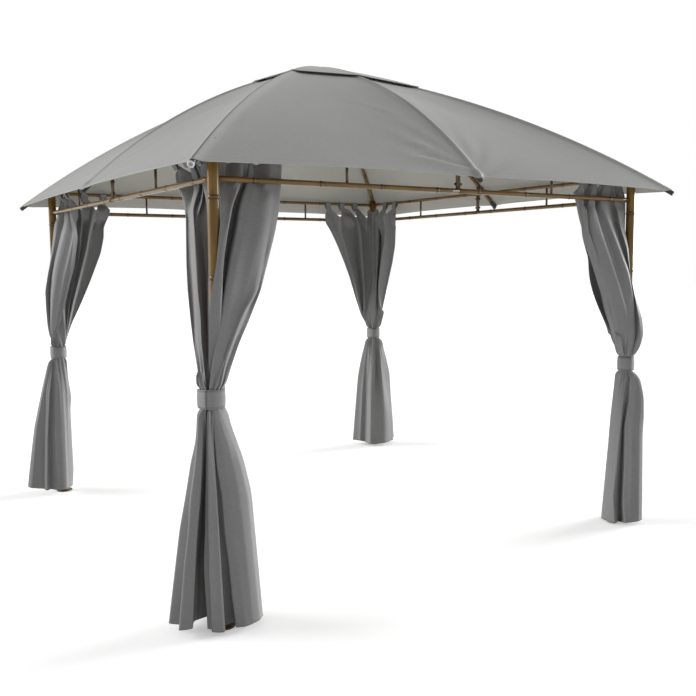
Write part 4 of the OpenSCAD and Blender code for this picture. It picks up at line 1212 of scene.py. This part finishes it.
def sun(name, direction, strength, spread):
    """A soft sun lamp that shines from the given direction."""
    lamp = bpy.data.lights.new(name, "SUN")
    lamp.energy = strength
    lamp.angle = math.radians(spread)
    piece = bpy.data.objects.new(name, lamp)
    bpy.context.scene.collection.objects.link(piece)
    x, y, z = direction
    piece.rotation_euler = (math.atan2(math.hypot(x, y), z), 0, math.atan2(y, x) + math.pi / 2)


floor_mesh = bpy.data.meshes.new("floor")
floor_corners = [(x * FLOOR_HALF, y * FLOOR_HALF, 0) for x, y in ((-1, -1), (1, -1), (1, 1), (-1, 1))]
floor_mesh.from_pydata(floor_corners, [], [(0, 1, 2, 3)])
floor = bpy.data.objects.new("floor", floor_mesh)
bpy.context.scene.collection.objects.link(floor)
floor_mat, tree, shader = material("pale studio floor")
lift = add(tree, "ShaderNodeMath", {0: background_rays(tree), 1: FLOOR_LIFT}, operation="MULTIPLY")
wire(tree, shader, {"Base Color": linear("#ececec"), "Roughness": 0.9, "Emission Color": (1, 1, 1, 1),
                    "Emission Strength": lift.outputs["Value"]})
floor_mesh.materials.append(floor_mat)

world = bpy.data.worlds.new("studio")
bpy.context.scene.world = world
world.use_nodes = True
tree = world.node_tree
tree.nodes.clear()
soft = add(tree, "ShaderNodeBackground", {"Color": (1, 1, 1, 1), "Strength": SKY})
white = add(tree, "ShaderNodeBackground", {"Color": (1, 1, 1, 1), "Strength": 1.0})
both = add(tree, "ShaderNodeMixShader", {0: background_rays(tree), 1: soft.outputs[0], 2: white.outputs[0]})
add(tree, "ShaderNodeOutputWorld", {"Surface": both.outputs[0]})

sun("left key", (-0.72, 0.58, 0.36), 2.9, 35)
sun("right fill", (0.94, -0.05, 0.18), 5.2, 30)
sun("front fill", (0.30, -0.95, 0.12), 0.15, 60)

camera = bpy.data.cameras.new("camera")
camera.sensor_width = SENSOR
camera.lens = FOCAL_PX / IMAGE_PX * SENSOR
eye = bpy.data.objects.new("camera", camera)
bpy.context.scene.collection.objects.link(eye)
eye.location = EYE
forward = np.array([-math.sin(YAW) * math.cos(PITCH), math.cos(YAW) * math.cos(PITCH), math.sin(PITCH)])
level = np.array([math.cos(YAW), math.sin(YAW), 0])
upright = np.cross(level, forward)
right = math.cos(ROLL) * level + math.sin(ROLL) * upright
upward = math.cos(ROLL) * upright - math.sin(ROLL) * level
eye.rotation_mode = "QUATERNION"
eye.rotation_quaternion = mathutils.Matrix(np.stack([right, upward, -forward], 1).tolist()).to_quaternion()
bpy.context.scene.camera = eye
bpy.context.scene.view_settings.view_transform = "Standard"
